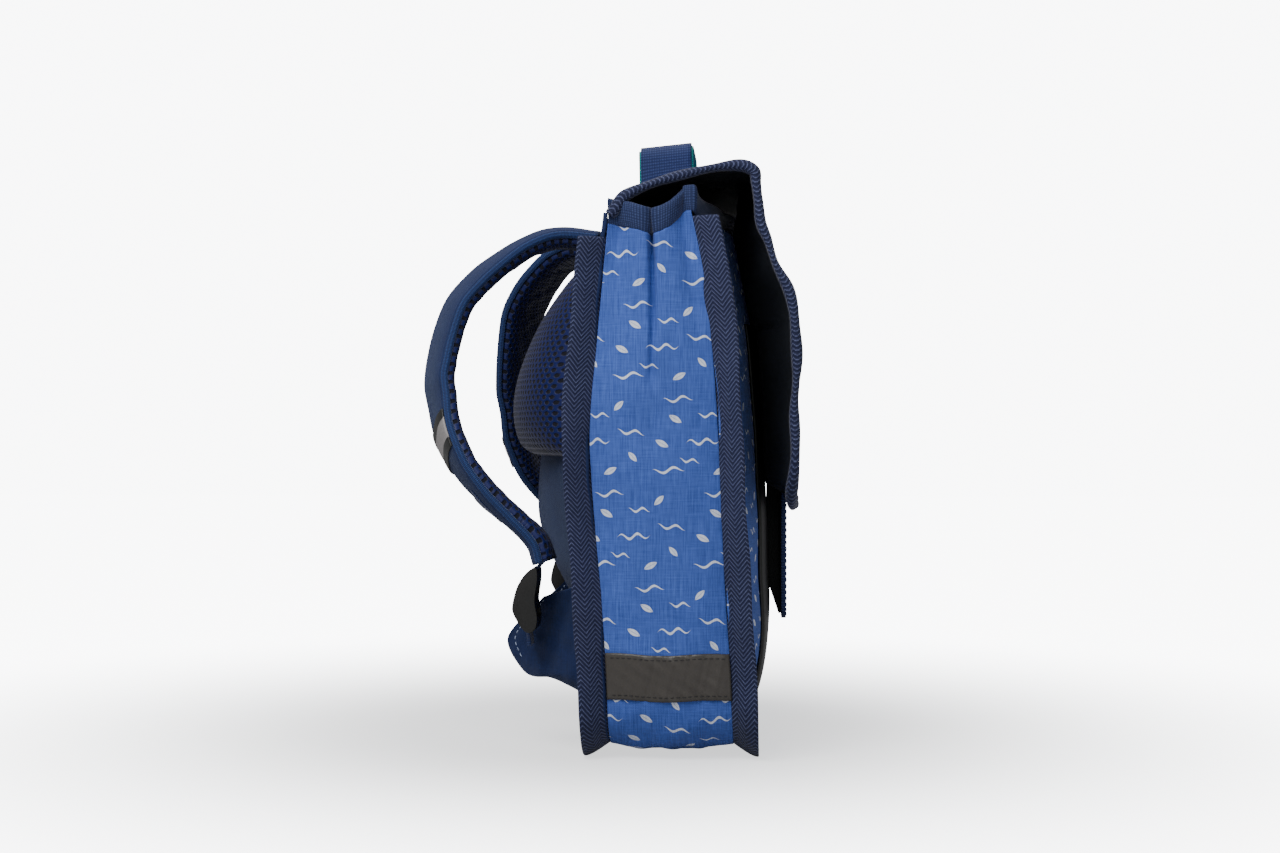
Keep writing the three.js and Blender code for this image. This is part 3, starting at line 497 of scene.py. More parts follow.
# %% [markdown]
# ## Herringbone tape
# Binding tape is woven in a herringbone: pale threads run up to a spine from both sides. Folding
# the cloth's sideways coordinate at the spine turns plain diagonal stripes into that pattern, so
# one stripe does for both sides. A finer wave along each stripe breaks it into single floats.

# %% Node group: herringbone
herringbone_group, w, given, out = new_group(
    "herringbone",
    [("Cloth", "vector", None), ("Pitch", "float", 0.0025), ("Column", "float", 0.0052),
     ("Slant", "float", 1.1)],
    [("Threads", "float"), ("Height", "float")],
)
u, v, _ = w.split(given["Cloth"])
folded = w.math("PINGPONG", v, given["Column"])
slope = w.plus(u, w.times(folded, given["Slant"]))
turns = w.math("DIVIDE", 2 * math.pi, given["Pitch"])
stripe = w.math("SINE", w.times(slope, turns))
counter = w.minus(w.times(u, 0.55), folded)
floats = w.math("SINE", w.times(counter, w.times(turns, 2.6)))
broken = w.plus(stripe, w.times(floats, 0.3))
worn = w.noise(given["Cloth"], 500.0, 2.0)
broken = w.plus(broken, w.times(w.minus(worn, 0.5), 1.0))
w.feed(out["Threads"], w.times(w.plus(broken, -0.2), 0.8, clamp=True))
w.feed(out["Height"], broken)
print("group", herringbone_group.name)

# %% [markdown]
# ## Ribbed webbing
# Webbing and grosgrain tape are plain weaves with thick cross threads, which show as ribs. Here
# ribs run across the tape, and thinner warp lines run along it.

# %% Node group: ribs
rib_group, w, given, out = new_group(
    "ribbed_tape",
    [("Cloth", "vector", None), ("Rib", "float", 0.0013), ("Warp", "float", 0.0011)],
    [("Threads", "float"), ("Height", "float")],
)
u, v, _ = w.split(given["Cloth"])
rib = w.math("SINE", w.times(u, w.math("DIVIDE", 2 * math.pi, given["Rib"])))
warp = w.math("SINE", w.times(v, w.math("DIVIDE", 2 * math.pi, given["Warp"])))
uneven = w.minus(w.noise(given["Cloth"], 700.0, 2.0), 0.5)
both = w.plus(w.times(rib, 0.6), w.times(warp, 0.45))
both = w.plus(both, w.times(uneven, 1.1))
w.feed(out["Threads"], w.times(w.plus(both, 0.1), 0.6, clamp=True))
w.feed(out["Height"], both)
print("group", rib_group.name)

# %% [markdown]
# ## Spacer mesh
# The pad and the inside of the straps are spacer mesh, with a honeycomb of small holes. A
# honeycomb is two grids of dots, one shifted by half a cell. The distance to the nearest dot
# gives the hole, and what is left between the holes is the raised thread.

# %% Node group: honeycomb
honeycomb_group, w, given, out = new_group(
    "honeycomb_mesh",
    [("Cloth", "vector", None), ("Cell", "float", 0.0032)],
    [("Hole", "float"), ("Height", "float")],
)
scaled = w.node("ShaderNodeVectorMath", operation="SCALE")
w.feed(scaled.inputs[0], given["Cloth"])
w.feed(scaled.inputs["Scale"], w.math("DIVIDE", 1.0, given["Cell"]))
cell = (1.0, 1.7320508, 1.0)
near = []
for offset in ((0.0, 0.0, 0.0), (0.5, 0.8660254, 0.0)):
    moved = w.node("ShaderNodeVectorMath", operation="ADD")
    w.feed(moved.inputs[0], scaled.outputs[0])
    moved.inputs[1].default_value = offset
    wrapped = w.node("ShaderNodeVectorMath", operation="WRAP")
    w.feed(wrapped.inputs[0], moved.outputs[0])
    wrapped.inputs[1].default_value = (0.5, cell[1] / 2, 1.0)
    wrapped.inputs[2].default_value = (-0.5, -cell[1] / 2, -1.0)
    squashed = w.stretch(wrapped.outputs[0], (1.0, 0.82, 0.0))
    length = w.node("ShaderNodeVectorMath", operation="LENGTH")
    w.feed(length.inputs[0], squashed)
    near.append(length.outputs["Value"])
nearest = w.math("MINIMUM", near[0], near[1])
fray = w.minus(w.noise(given["Cloth"], 1400.0, 1.0), 0.5)
nearest = w.plus(nearest, w.times(fray, 0.12))
hole = w.minus(1.0, w.math("DIVIDE", w.minus(nearest, 0.2), 0.13), clamp=True)
w.feed(out["Hole"], hole)
w.feed(out["Height"], w.minus(1.0, hole))
print("group", honeycomb_group.name)

# %% [markdown]
# ## Printed motifs
# The canvas carries a small off-white print. This one is drawn for the lesson: leaves and little
# water ripples, charted in one repeat of cloth. Both are the same figure: a stroke that is thickest
# in the middle and ends in points. With a wavy spine it is a ripple, with a straight one it is a
# leaf. The group draws one stroke, and a second group lays out the repeat.

# %% Node group: one printed stroke
stroke_group, w, given, out = new_group(
    "printed_stroke",
    [("Cloth", "vector", None), ("Middle x", "float", 0.0), ("Middle y", "float", 0.0),
     ("Turn", "float", 0.0), ("Half length", "float", 5.0), ("Half width", "float", 2.0),
     ("Sway", "float", 0.0), ("Sways", "float", 2.0), ("Vein", "float", 0.0)],
    [("Ink", "float")],
)
u, v, _ = w.split(given["Cloth"])
x = w.minus(u, given["Middle x"])
y = w.minus(v, given["Middle y"])
cosine = w.math("COSINE", given["Turn"])
sine = w.math("SINE", given["Turn"])
along = w.plus(w.times(x, cosine), w.times(y, sine))
across = w.minus(w.times(y, cosine), w.times(x, sine))
share = w.math("DIVIDE", along, given["Half length"])
bend = w.math("SINE", w.times(w.times(share, math.pi), given["Sways"]))
across = w.minus(across, w.times(bend, given["Sway"]))
side = w.math("ABSOLUTE", across)
taper = w.minus(1.0, w.times(share, share))
inside = w.minus(w.times(taper, given["Half width"]), side)
ink = w.plus(w.times(inside, 4.0), 0.5, clamp=True)
vein = w.minus(1.0, w.times(side, 5.0), clamp=True)
vein = w.times(vein, given["Vein"])
w.feed(out["Ink"], w.times(ink, w.minus(1.0, vein)))
print("group", stroke_group.name)

# %% [markdown]
# The repeat is 58 by 50 mm. Each row of repeats starts a little further along than the row
# below it, so the eye finds no columns. The motifs stay inside the repeat, which saves drawing
# them twice.

# %% Node group: the print's repeat
REPEAT = (58.0, 50.0)
PRINT_CHART = table_of(
    ("x", "y", "turn", "length", "width", "sway", "sways", "vein"),
    [
        (11, 7, 0.1, 8.2, 0.75, 1.2, 1.5, 0),
        (22, 12, -0.1, 5.2, 0.6, 0.9, 1.5, 0),
        (38, 6.5, 0.5, 3.9, 1.6, 0, 1, 1),
        (50, 14, 2.3, 3.4, 1.4, 0, 1, 1),
        (7.5, 21, -0.5, 3.9, 1.6, 0, 1, 1),
        (29, 22, 0.05, 8.6, 0.75, 1.3, 2.0, 0),
        (49, 27, -0.1, 7.2, 0.7, 1.1, 1.5, 0),
        (14.5, 34, 2.6, 3.9, 1.6, 0, 1, 1),
        (32, 36, 0.0, 5.6, 0.65, 1.0, 1.5, 0),
        (42.5, 41, 0.8, 3.6, 1.5, 0, 1, 1),
        (16, 44.5, 0.1, 7.6, 0.7, 1.2, 1.5, 0),
    ],
)
print_group, w, given, out = new_group(
    "leaf_and_ripple_print", [("Cloth", "vector", None)], [("Ink", "float")]
)
chart = w.stretch(given["Cloth"], (1000.0, 1000.0, 0.0))
u, v, _ = w.split(chart)
level = w.math("FLOOR", w.math("DIVIDE", v, REPEAT[1]))
u = w.plus(u, w.times(level, 0.37 * REPEAT[0]))
inside_u = w.math("WRAP", u, REPEAT[0], 0.0)
inside_v = w.math("WRAP", v, REPEAT[1], 0.0)
local = w.join(inside_u, inside_v)
ink = None
for row in PRINT_CHART:
    one = w.uses(
        stroke_group, cloth=local, middle_x=float(row["x"]), middle_y=float(row["y"]),
        turn=float(row["turn"]), half_length=float(row["length"]),
        half_width=float(row["width"]), sway=float(row["sway"]), sways=float(row["sways"]),
        vein=0.75 * row["vein"],
    )["Ink"]
    ink = one if ink is None else w.math("MAXIMUM", ink, one)
w.feed(out["Ink"], ink)
print("group", print_group.name, "with", len(PRINT_CHART), "strokes in a repeat")

# %% [markdown]
# ## Handling
# A used bag is a little darker in some places and paler where cloth is rubbed. Slow noise from
# the object's own coordinates does this for every material, so the tone carries on from piece to
# piece.

# %% Node group: handling
handling_group, w, given, out = new_group(
    "handling", [("Base", "color", (0.5, 0.5, 0.5, 1.0)), ("Amount", "float", 0.25)],
    [("Color", "color"), ("Rub", "float")],
)
spot = w.node("ShaderNodeTexCoord").outputs["Object"]
slow = w.noise(spot, 28.0, 3.0, 0.55)
tone = w.plus(1.0, w.times(w.minus(slow, 0.5), given["Amount"]))
toned = w.node("ShaderNodeVectorMath", operation="SCALE")
w.feed(toned.inputs[0], given["Base"])
w.feed(toned.inputs["Scale"], tone)
w.feed(out["Color"], toned.outputs[0])
w.feed(out["Rub"], slow)
print("group", handling_group.name)

# %% [markdown]
# ## Materials
# Each material puts its own values into the groups. Dyed cloth is soft: high roughness, a low
# specular level and a little sheen that catches the light at grazing angles. Bump distances are
# real thread heights, a few tenths of a millimetre.

# %% Woven materials
def rgb(red, green, blue):
    """A colour with alpha, from linear parts."""
    return (red, green, blue, 1.0)


def cloth_material(name, dark, light, pitch, streaks, sheen, height=0.00016, printed=False):
    """Plain-woven cloth between two thread colours, with or without the print."""
    material, shader = principled(name, dark[:3], 0.82)
    w = Weaver(material.node_tree)
    cloth = w.cloth()
    weave = w.uses(weave_group, cloth=cloth, pitch=pitch, streaks=streaks)
    # the mask mixes real yarn streaks with painted light and shade on the crossings
    color = w.mix(weave["Yarns_and_crossing_light"], dark, light)
    if printed:
        ink = w.uses(print_group, cloth=cloth)["Ink"]
        paint = w.mix(weave["Yarns_and_crossing_light"], rgb(0.42, 0.47, 0.62), rgb(0.80, 0.83, 0.88))
        color = w.mix(ink, color, paint)
    handled = w.uses(handling_group, base=color, amount=0.35)
    w.feed(shader.inputs["Base Color"], handled["Color"])
    w.feed(shader.inputs["Normal"], w.bump(weave["Height"], 0.55, height))
    shader.inputs["Specular IOR Level"].default_value = 0.25
    shader.inputs["Sheen Weight"].default_value = sheen
    shader.inputs["Sheen Roughness"].default_value = 0.45
    shader.inputs["Sheen Tint"].default_value = rgb(0.55, 0.68, 1.0)
    return material


printed_canvas = cloth_material(
    "printed_canvas", rgb(0.014, 0.04, 0.205), rgb(0.075, 0.15, 0.54), 0.00085, 0.6, 0.12,
    printed=True)
navy_canvas = cloth_material(
    "navy_canvas", rgb(0.0028, 0.0075, 0.038), rgb(0.008, 0.02, 0.085), 0.0005, 0.5, 0.1)
black_lining = cloth_material(
    "black_lining", rgb(0.0008, 0.0008, 0.001), rgb(0.003, 0.003, 0.004), 0.0004, 0.6, 0.02)
print("cloths", printed_canvas.name, navy_canvas.name, black_lining.name)

# %% Tape and webbing materials
def tape_material(name, dark, light, herringbone=True, **sizes):
    """Herringbone or ribbed tape with pale threads on a dark ground."""
    material, shader = principled(name, dark[:3], 0.78)
    w = Weaver(material.node_tree)
    group = herringbone_group if herringbone else rib_group
    weave = w.uses(group, cloth=w.cloth(), **sizes)
    color = w.mix(weave["Threads"], dark, light)
    handled = w.uses(handling_group, base=color, amount=0.3)
    w.feed(shader.inputs["Base Color"], handled["Color"])
    w.feed(shader.inputs["Normal"], w.bump(weave["Height"], 0.6, 0.00018))
    shader.inputs["Specular IOR Level"].default_value = 0.3
    shader.inputs["Sheen Weight"].default_value = 0.15
    shader.inputs["Sheen Roughness"].default_value = 0.4
    return material


navy_herringbone = tape_material(
    "navy_herringbone", rgb(0.004, 0.007, 0.034), rgb(0.085, 0.1, 0.2))
navy_grosgrain = tape_material(
    "navy_grosgrain", rgb(0.008, 0.016, 0.065), rgb(0.055, 0.085, 0.21), herringbone=False)
navy_webbing = tape_material(
    "navy_webbing", rgb(0.008, 0.017, 0.075), rgb(0.045, 0.07, 0.19), herringbone=False,
    rib=0.0016, warp=0.0014)
teal_tape = tape_material(
    "teal_tape", rgb(0.002, 0.17, 0.16), rgb(0.02, 0.42, 0.38), herringbone=False)
strap_rib = tape_material(
    "strap_ribbed_edge", rgb(0.004, 0.014, 0.065), rgb(0.02, 0.06, 0.2), herringbone=False,
    rib=0.0009, warp=0.002)
print("tapes", navy_herringbone.name, navy_grosgrain.name, navy_webbing.name)

# %% Spacer mesh material
def mesh_material(name, cell):
    """Deep blue spacer mesh: glossy threads around holes painted near-black as the shade inside
    them.
    """
    material, shader = principled(name, (0.01, 0.02, 0.15), 0.55)
    w = Weaver(material.node_tree)
    comb = w.uses(honeycomb_group, cloth=w.cloth(), cell=cell)
    # painted shade: the holes are painted near-black for the shade inside them
    color = w.mix(comb["Hole"], rgb(0.003, 0.008, 0.075), rgb(0.0005, 0.0008, 0.006))
    handled = w.uses(handling_group, base=color, amount=0.35)
    w.feed(shader.inputs["Base Color"], handled["Color"])
    rough = w.plus(0.5, w.times(comb["Hole"], 0.4))
    w.feed(shader.inputs["Roughness"], rough)
    w.feed(shader.inputs["Normal"], w.bump(comb["Height"], 0.9, 0.0009))
    shader.inputs["Specular IOR Level"].default_value = 0.35
    shader.inputs["Sheen Weight"].default_value = 0.03
    return material


spacer_mesh = mesh_material("spacer_mesh", 0.0034)
strap_mesh = mesh_material("strap_spacer_mesh", 0.0036)
print("meshes", spacer_mesh.name, strap_mesh.name)

# %% [markdown]
# Vinyl, reflective tape and moulded plastic have no weave. Their looks come from small uneven
# gloss, fine grain and the light on their edges, so each is a short material of its own.

# %% Smooth materials
def smooth_material(name, base, low, high, grain, height, amount=0.3):
    """A closed surface with fine grain and uneven gloss."""
    material, shader = principled(name, base[:3], low)
    w = Weaver(material.node_tree)
    spot = w.node("ShaderNodeTexCoord").outputs["Object"]
    fine = w.noise(spot, grain, 3.0, 0.6)
    handled = w.uses(handling_group, base=base, amount=amount)
    w.feed(shader.inputs["Base Color"], handled["Color"])
    gloss = w.plus(low, w.times(handled["Rub"], high - low))
    w.feed(shader.inputs["Roughness"], gloss)
    w.feed(shader.inputs["Normal"], w.bump(fine, 0.35, height))
    return material


black_vinyl = smooth_material(
    "black_vinyl", rgb(0.0016, 0.0016, 0.002), 0.36, 0.55, 1800.0, 0.00005)
grey_reflector = smooth_material(
    "grey_reflective_tape", rgb(0.042, 0.037, 0.032), 0.34, 0.55, 5200.0, 0.00003)
silver_reflector = smooth_material(
    "silver_reflective_tape", rgb(0.28, 0.26, 0.26), 0.35, 0.5, 5200.0, 0.00003)
black_edging = smooth_material(
    "black_tape_edging", rgb(0.006, 0.006, 0.006), 0.4, 0.6, 2600.0, 0.00005)
brown_plastic = smooth_material(
    "brown_moulded_plastic", rgb(0.0022, 0.002, 0.0018), 0.32, 0.6, 2400.0, 0.00006)
stitch_thread = smooth_material(
    "navy_stitch_thread", rgb(0.04, 0.06, 0.2), 0.6, 0.8, 4000.0, 0.00002)
pale_thread = smooth_material(
    "pale_stitch_thread", rgb(0.32, 0.38, 0.52), 0.6, 0.8, 4000.0, 0.00002)
dark_thread = smooth_material(
    "dark_stitch_thread", rgb(0.006, 0.006, 0.008), 0.6, 0.8, 4000.0, 0.00002)
print("smooth", black_vinyl.name, grey_reflector.name, brown_plastic.name)

# %% [markdown]
# ## The body's outline
# These tables say how deep and wide the bag is at each height, and how its panels bulge, fold and
# dip at the mouth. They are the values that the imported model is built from, so the cloth made
# here lies in the same place. It differs in two ways: the mouth is raised by a few millimetres,
# and the lower back is a little fuller.

# %% Sizes and tables of the body
WIDTH, HEIGHT, DEPTH, CORNER = 252.0, 288.0, 73.0, 26.0
FRONT_BULGE, BACK_BULGE, SIDE_BOW, SEAM_Z = 19.0, 31.0, 6.0, 8.0
MOUTH_Z = SEAM_Z + HEIGHT
MOUTH_RAISE, MOUTH_WAVE = 6.5, 8.0
SIDE_BASE, BOTTOM_TOP = 47.1, 46.9
CANVAS, BACK_CLOTH = 1.4, 2.4
BACK_FULLNESS, FULLEST_Z = 9.5, 128
BODY = table_of(("z", "back", "front", "width"), [
    (0.0, 0.425, -0.56, 0.985), (0.13, 0.44, -0.545, 0.99), (0.28, 0.475, -0.505, 1.0),
    (0.44, 0.53, -0.475, 1.0), (0.59, 0.56, -0.45, 1.0), (0.75, 0.51, -0.405, 0.99),
    (0.88, 0.465, -0.345, 0.98), (1.0, 0.42, -0.25, 0.975)])
BULGE = table_of(("z", "front", "back"), [
    (0.0, 0.0, 0.0), (0.06, 0.42, 0.1), (0.16, 0.8, 0.36), (0.32, 0.98, 0.84), (0.5, 1.0, 1.0),
    (0.65, 1.0, 0.94), (0.8, 0.98, 0.62), (0.9, 0.97, 0.3), (1.0, 0.95, 0.08)])
FOLDS = table_of(("across", "mouth", "low"), [
    (0.0, 0.0, 0.0), (0.06, -0.3, 0.28), (0.14, -0.55, 0.55), (0.25, 0.1, 0.83),
    (0.38, 0.7, 0.97), (0.46, 0.45, 1.0), (0.5, -0.75, 0.98), (0.54, 0.45, 1.0),
    (0.64, 0.65, 0.95), (0.76, 0.3, 0.8), (0.87, -0.4, 0.52), (0.95, -0.25, 0.24),
    (1.0, 0.0, 0.0)])
MOUTH = table_of(("across", "rise"), [
    (0.0, -0.1), (0.25, -0.35), (0.5, -0.8), (0.68, -0.45), (0.85, 0.4), (0.93, 0.72),
    (1.0, 0.75)])


def share_z(z):
    return np.clip((np.asarray(z, float) - SEAM_Z) / HEIGHT, 0, 1)


def shaped(function):
    """Lets a table function take grids of any shape."""
    def call(*grids):
        grids = np.broadcast_arrays(*[np.asarray(grid, float) for grid in grids])
        return function(*[grid.ravel() for grid in grids]).reshape(grids[0].shape)
    return call


side_x = shaped(lambda z: WIDTH / 2 * read(BODY, "z", "width", share_z(z)))
back_y = shaped(lambda z: DEPTH * read(BODY, "z", "back", share_z(z)))
front_y = shaped(lambda z: DEPTH * read(BODY, "z", "front", share_z(z)))
front_swell = shaped(lambda z: FRONT_BULGE * read(BULGE, "z", "front", share_z(z)))
back_swell = shaped(lambda z: BACK_BULGE * read(BULGE, "z", "back", share_z(z)))
mouth_z = shaped(lambda across: MOUTH_Z + MOUTH_RAISE + MOUTH_WAVE * read(
    MOUTH, "across", "rise", across))
low_fold = shaped(lambda across: read(FOLDS, "across", "low", across))
mouth_fold = shaped(lambda across: read(FOLDS, "across", "mouth", across))


def half_width(z):
    full = side_x(np.maximum(z, SEAM_Z + CORNER))
    drop = np.maximum(CORNER - (np.asarray(z, float) - SEAM_Z), 0)
    return full - CORNER + np.sqrt(np.maximum(CORNER**2 - drop**2, 0))


def front_face(x, z):
    share = np.minimum(np.abs(x) / half_width(z), 1)
    return front_y(z) - front_swell(z) * (1 - share**2.1)


def back_face(x, z):
    share = np.minimum(np.abs(x) / half_width(z), 1)
    soft = BACK_FULLNESS * bump_at(z, FULLEST_Z, 34) * (
        1 - np.minimum(np.abs(x) / 98, 1) ** 2) ** 2
    return back_y(z) + back_swell(z) * (1 - share**2.1) + soft


def gusset_y(z, across):
    start, end = back_y(z) - 3.3, front_y(z) + 2.3
    return start + (end - start) * across


def bow(z, across):
    pinch = ease(SEAM_Z + 0.64 * HEIGHT, MOUTH_Z, z)
    rounding = ease(SEAM_Z, SEAM_Z + 2 * CORNER, z)
    low = low_fold(across) * (0.5 + 0.5 * rounding)
    return SIDE_BOW * (low + (mouth_fold(across) - low) * pinch)


print("body", WIDTH, HEIGHT, DEPTH, "mm; its gusset is", round(float(
    (back_y(150) - front_y(150)).item()), 1), "mm deep at half height")

# %% [markdown]
# ## Side panels
# The gusset is one length of canvas, so it carries folds that run from seam to seam. Where the
# mouth is gathered a stitched pleat makes a narrow dark groove with a soft roll on both sides,
# and ends in a small pinch. Below it the cloth sags in shallow arcs. The print runs upright.

# %% Side panels
def pleat(across, z):
    """Depth of the stitched pleat: a narrow groove with rounded lips that fades out downward."""
    centre = 0.475 + 0.035 * ease(265, 290, z)
    reach = ease(203, 215, z)
    groove = -3.0 * bump_at(across, centre, 0.013) + 0.9 * bump_at(across, centre, 0.09)
    pinch = -1.6 * bump_at(across, 0.485, 0.05) * bump_at(z, 207, 7)
    return groove * reach + pinch


def side_wrinkles(across, y, z, side):
    """Shallow arcs, puckers beside the seams and the slack of the lower panel."""
    edge = np.sin(np.pi * across) ** 0.7
    phase = 0.0 if side < 0 else 2.3
    arcs = 0.55 * ripple(y * 0.35, z + 0.012 * (y + 5) ** 2, 46, phase)
    fine = 0.22 * ripple(y, z * 0.7, 19, phase + 1)
    puckers = 0.35 * np.sin(z / 5.2 + phase) * np.exp(-across / 0.06)
    puckers += 0.35 * np.sin(z / 4.6 + 1 + phase) * np.exp(-(1 - across) / 0.06)
    slack = 1.1 * bump_at(z, 36, 26) * ripple(y, z, 27, phase + 0.6)
    return (arcs + fine + slack) * edge + puckers


def side_grid(side, lift, rows=190, columns=84):
    """Points and cloth UVs of a side panel, from the seam under the tape to the mouth."""
    across, share = np.meshgrid(np.linspace(0, 1, columns), np.linspace(0, 1, rows))
    z = SIDE_BASE + (mouth_z(across) - 13.5 - SIDE_BASE) * share
    y = gusset_y(z, across)
    x = side_x(z) + bow(z, across) + pleat(across, z) + side_wrinkles(across, y, z, side) + lift
    return np.stack([side * x, y, z], axis=2), np.stack([side * y, z], axis=2)


for side, label in SIDES:
    panel = two_layers(
        f"side_panel_cloth_{label}", lambda lift: side_grid(side, lift), 0.0, -CANVAS)
    finished(panel, printed_canvas, "printed_canvas", f"side_panel_{label}")

# %% [markdown]
# ## Bottom panel
# The bottom runs up both sides to the reflective tape. It is cut across the cloth, so its print
# lies on its side: the UV map is simply turned. Its corners are pulled in by the two bound
# seams, and the cloth between them hangs in soft, uneven waves.

# %% Bottom panel
def bottom_outline(top, count_side, count_base):
    """Half of the outline seen from behind: x, z and the outward direction, from near to far."""
    inner = float(side_x(SEAM_Z + CORNER)) - CORNER
    rows = []
    for z in np.linspace(top, SEAM_Z + CORNER, count_side, endpoint=False):
        rows.append((-float(side_x(z)), z, -1.0, 0.0))
    for angle in np.linspace(0, math.pi / 2, 14):
        rows.append((-inner - CORNER * math.cos(angle), SEAM_Z + CORNER * (1 - math.sin(angle)),
                     -math.cos(angle), -math.sin(angle)))
    for share in np.linspace(0, 1, count_base)[1:-1]:
        rows.append((inner * (2 * share - 1), SEAM_Z, 0.0, -1.0))
    rows += [(-x, z, -ox, oz) for x, z, ox, oz in reversed(rows[:count_side + 14])]
    return np.array(rows)


def bottom_grid(lift, columns=64):
    outline = bottom_outline(BOTTOM_TOP, 12, 60)
    across = np.linspace(0, 1, columns)
    x, z, ox, oz = (outline[:, k][:, None] for k in range(4))
    y = gusset_y(z + 0 * across, across[None, :] + 0 * z)
    run = run_of(outline[:, :2])[:, None] + 0 * across
    sag = 3.2 * np.sin(np.pi * across) + 0.9 * np.sin(5.2 * across + 0.6) * np.sin(np.pi * across)
    out = sag + (bow(z + 0 * across, across) - sag) * np.abs(ox)
    wrinkle = 0.8 * ripple(y, run, 30, 0.6) + 0.3 * ripple(y, run, 14, 2.0)
    out = out + wrinkle * np.sin(np.pi * across) ** 0.7 + lift
    return np.stack([x + ox * out, y, z + oz * out], axis=2), np.stack([run, y], axis=2)


bottom = two_layers("bottom_panel_cloth", bottom_grid, 0.0, -CANVAS, turned=True)
finished(bottom, printed_canvas, "printed_canvas", "bottom_panel")

# %% [markdown]
# ## Front and back panels
# Both panels are stuffed: they bulge in the middle and are held flat by the seams, where the
# stitching gathers them into short puckers. The front is printed canvas. Each is a grid in the
# panel's own width and height, so columns follow the rounded corners.

# %% Front and back panels
def panel_grid(face_of, facing, low, high, phase, lift, half=1.0, rows=130, columns=116,
               quiet=1.0):
    """Points and cloth UVs of a layer on the front or back panel."""
    s, z = np.meshgrid(np.linspace(-half, half, columns), np.linspace(low, high, rows))
    x = s * half_width(z)
    edge = np.clip((1 - np.abs(s)) / 0.25, 0, 1)
    slow = 0.7 * ripple(x * 0.6, z, 70, phase) * edge
    puckers = 0.4 * np.sin(z / 5.0 + phase) * np.exp(-(1 - np.abs(s)) / 0.05) * ease(8, 40, z)
    y = face_of(x, z) + facing * ((slow + puckers) * quiet + lift)
    return np.stack([x, y, z], axis=2), np.stack([x, z], axis=2)


front = two_layers("front_panel_cloth", lambda lift: panel_grid(
    front_face, -1, SEAM_Z, 290.0, 0.4, lift), 0.0, -CANVAS)
finished(front, printed_canvas, "printed_canvas", "front_panel")

rear = two_layers("back_panel_cloth", lambda lift: panel_grid(
    back_face, 1, SEAM_Z, 294.0, 3.1, lift), 0.0, -BACK_CLOTH)
finished(rear, navy_canvas, "navy_canvas", "back_panel")


def vinyl_grid(lift):
    """The coated panel on the front's middle, with the rim of its outer layer pressed in."""
    points, uv = panel_grid(front_face, -1, 23.0, 238.0, 0.4, lift, 0.4, 80, 50, 0.6)
    if lift > 1:
        across = np.linspace(-1, 1, 50)[None, :]
        up = np.linspace(-1, 1, 80)[:, None]
        points[:, :, 1] += 1.6 * (np.abs(across) ** 14 + np.abs(up) ** 24).clip(0, 1)
    return points, uv


vinyl = two_layers("front_centre_vinyl", vinyl_grid, 3.3, 0.15)
finished(vinyl, black_vinyl, "black_vinyl", "front_centre_panel")

# %% [markdown]
# ## Reflective side tape
# A flat tape covers the seam between the side and the bottom. It is stiffer than canvas, so it
# bridges the small folds and only takes the long ones, with a few soft creases of its own.

# %% Side tapes
TAPE_BASE, TAPE_HEIGHT = 34.6, 24.8


def tape_grid(side, lift, rows=26, columns=70):
    across, share = np.meshgrid(np.linspace(0, 1, columns), np.linspace(0, 1, rows))
    z = TAPE_BASE + TAPE_HEIGHT * share + 0.5 * np.sin(across * 9 + 0.5)
    y = gusset_y(z, across)
    crease = 0.5 * ripple(y, z * 0.8, 23, 1.1) + 0.35 * ripple(y * 1.4, z, 9, 0.3)
    x = side_x(z) + bow(z, across) + 0.8 + crease * np.sin(np.pi * across) ** 0.5 + lift
    hug = 0.5 * (np.abs(2 * share - 1) ** 10)
    return np.stack([side * (x - hug), y, z], axis=2), np.stack([y, z], axis=2)


for side, label in SIDES:
    tape = two_layers(
        f"reflective_tape_{label}", lambda lift: tape_grid(side, lift), 0.75, 0.0)
    finished(tape, grey_reflector, "grey_reflective", f"side_tape_{label}")

# %% [markdown]
# ## Stitches
# A row of stitches is many short threads that dip into the cloth at both ends. Each is a bent
# little rod of six sides. One object holds a whole row, which keeps the scene light.

# %% Stitch rows
def stitch_row(name, points, normals, material, slot, length=2.3, space=0.9, radius=0.28):
    """Stitches along a line of points in millimetres, lying on the side of the normals."""
    points, normals = np.asarray(points, float), np.asarray(normals, float)
    run = run_of(points)
    starts = np.arange(space, run[-1] - length, length + space)
    vertices, faces, uvs = [], [], []
    for start in starts:
        spots = start + length * np.array([0.0, 0.2, 0.5, 0.8, 1.0])
        rise = radius * np.array([-0.9, 0.35, 0.75, 0.35, -0.9])
        middle = line_at(points, run, spots)
        up = line_at(normals, run, spots)
        up /= np.linalg.norm(up, axis=1, keepdims=True)
        heading = line_at(points, run, start + length) - line_at(points, run, start)
        sideways = np.cross(up, heading / np.linalg.norm(heading))
        base = len(vertices)
        for k in range(5):
            thick = radius * (0.7 if k in (0, 4) else 1.0)
            for turn in np.arange(6) * math.pi / 3:
                offset = math.cos(turn) * sideways[k] + math.sin(turn) * up[k]
                vertices.append(middle[k] + up[k] * rise[k] + offset * thick)
                uvs.append((spots[k] * MM, turn * radius * MM))
        for k in range(4):
            for i in range(6):
                a, b = base + 6 * k + i, base + 6 * k + (i + 1) % 6
                faces.append((a, b, b + 6, a + 6))
        faces.append(tuple(base + 5 - i for i in range(6)))
        faces.append(tuple(base + 24 + i for i in range(6)))
    row = new_object(name, to_metres(np.array(vertices)), faces, uvs)
    return finished(row, material, slot)


for side, label in SIDES:
    for share, name in ((0.1, "low"), (0.9, "top")):
        grid, _ = tape_grid(side, 0.8, rows=41)
        line = grid[int(round(share * 40)), 2:-2]
        stitch_row(f"tape_stitches_{name}_{label}", line, np.tile([side, 0, 0], (len(line), 1)),
                   dark_thread, "grey_reflective", length=2.2, space=1.0, radius=0.2)

# %% [markdown]
# ## Bound seams
# Each body seam is wrapped in a folded herringbone tape that stands out as a rib. Its section is a
# soft lens, thicker at the fold. Along its length the tape creeps: it leans and swells a little
# where the needle pulled it. The pattern's spine follows the middle of the rib.

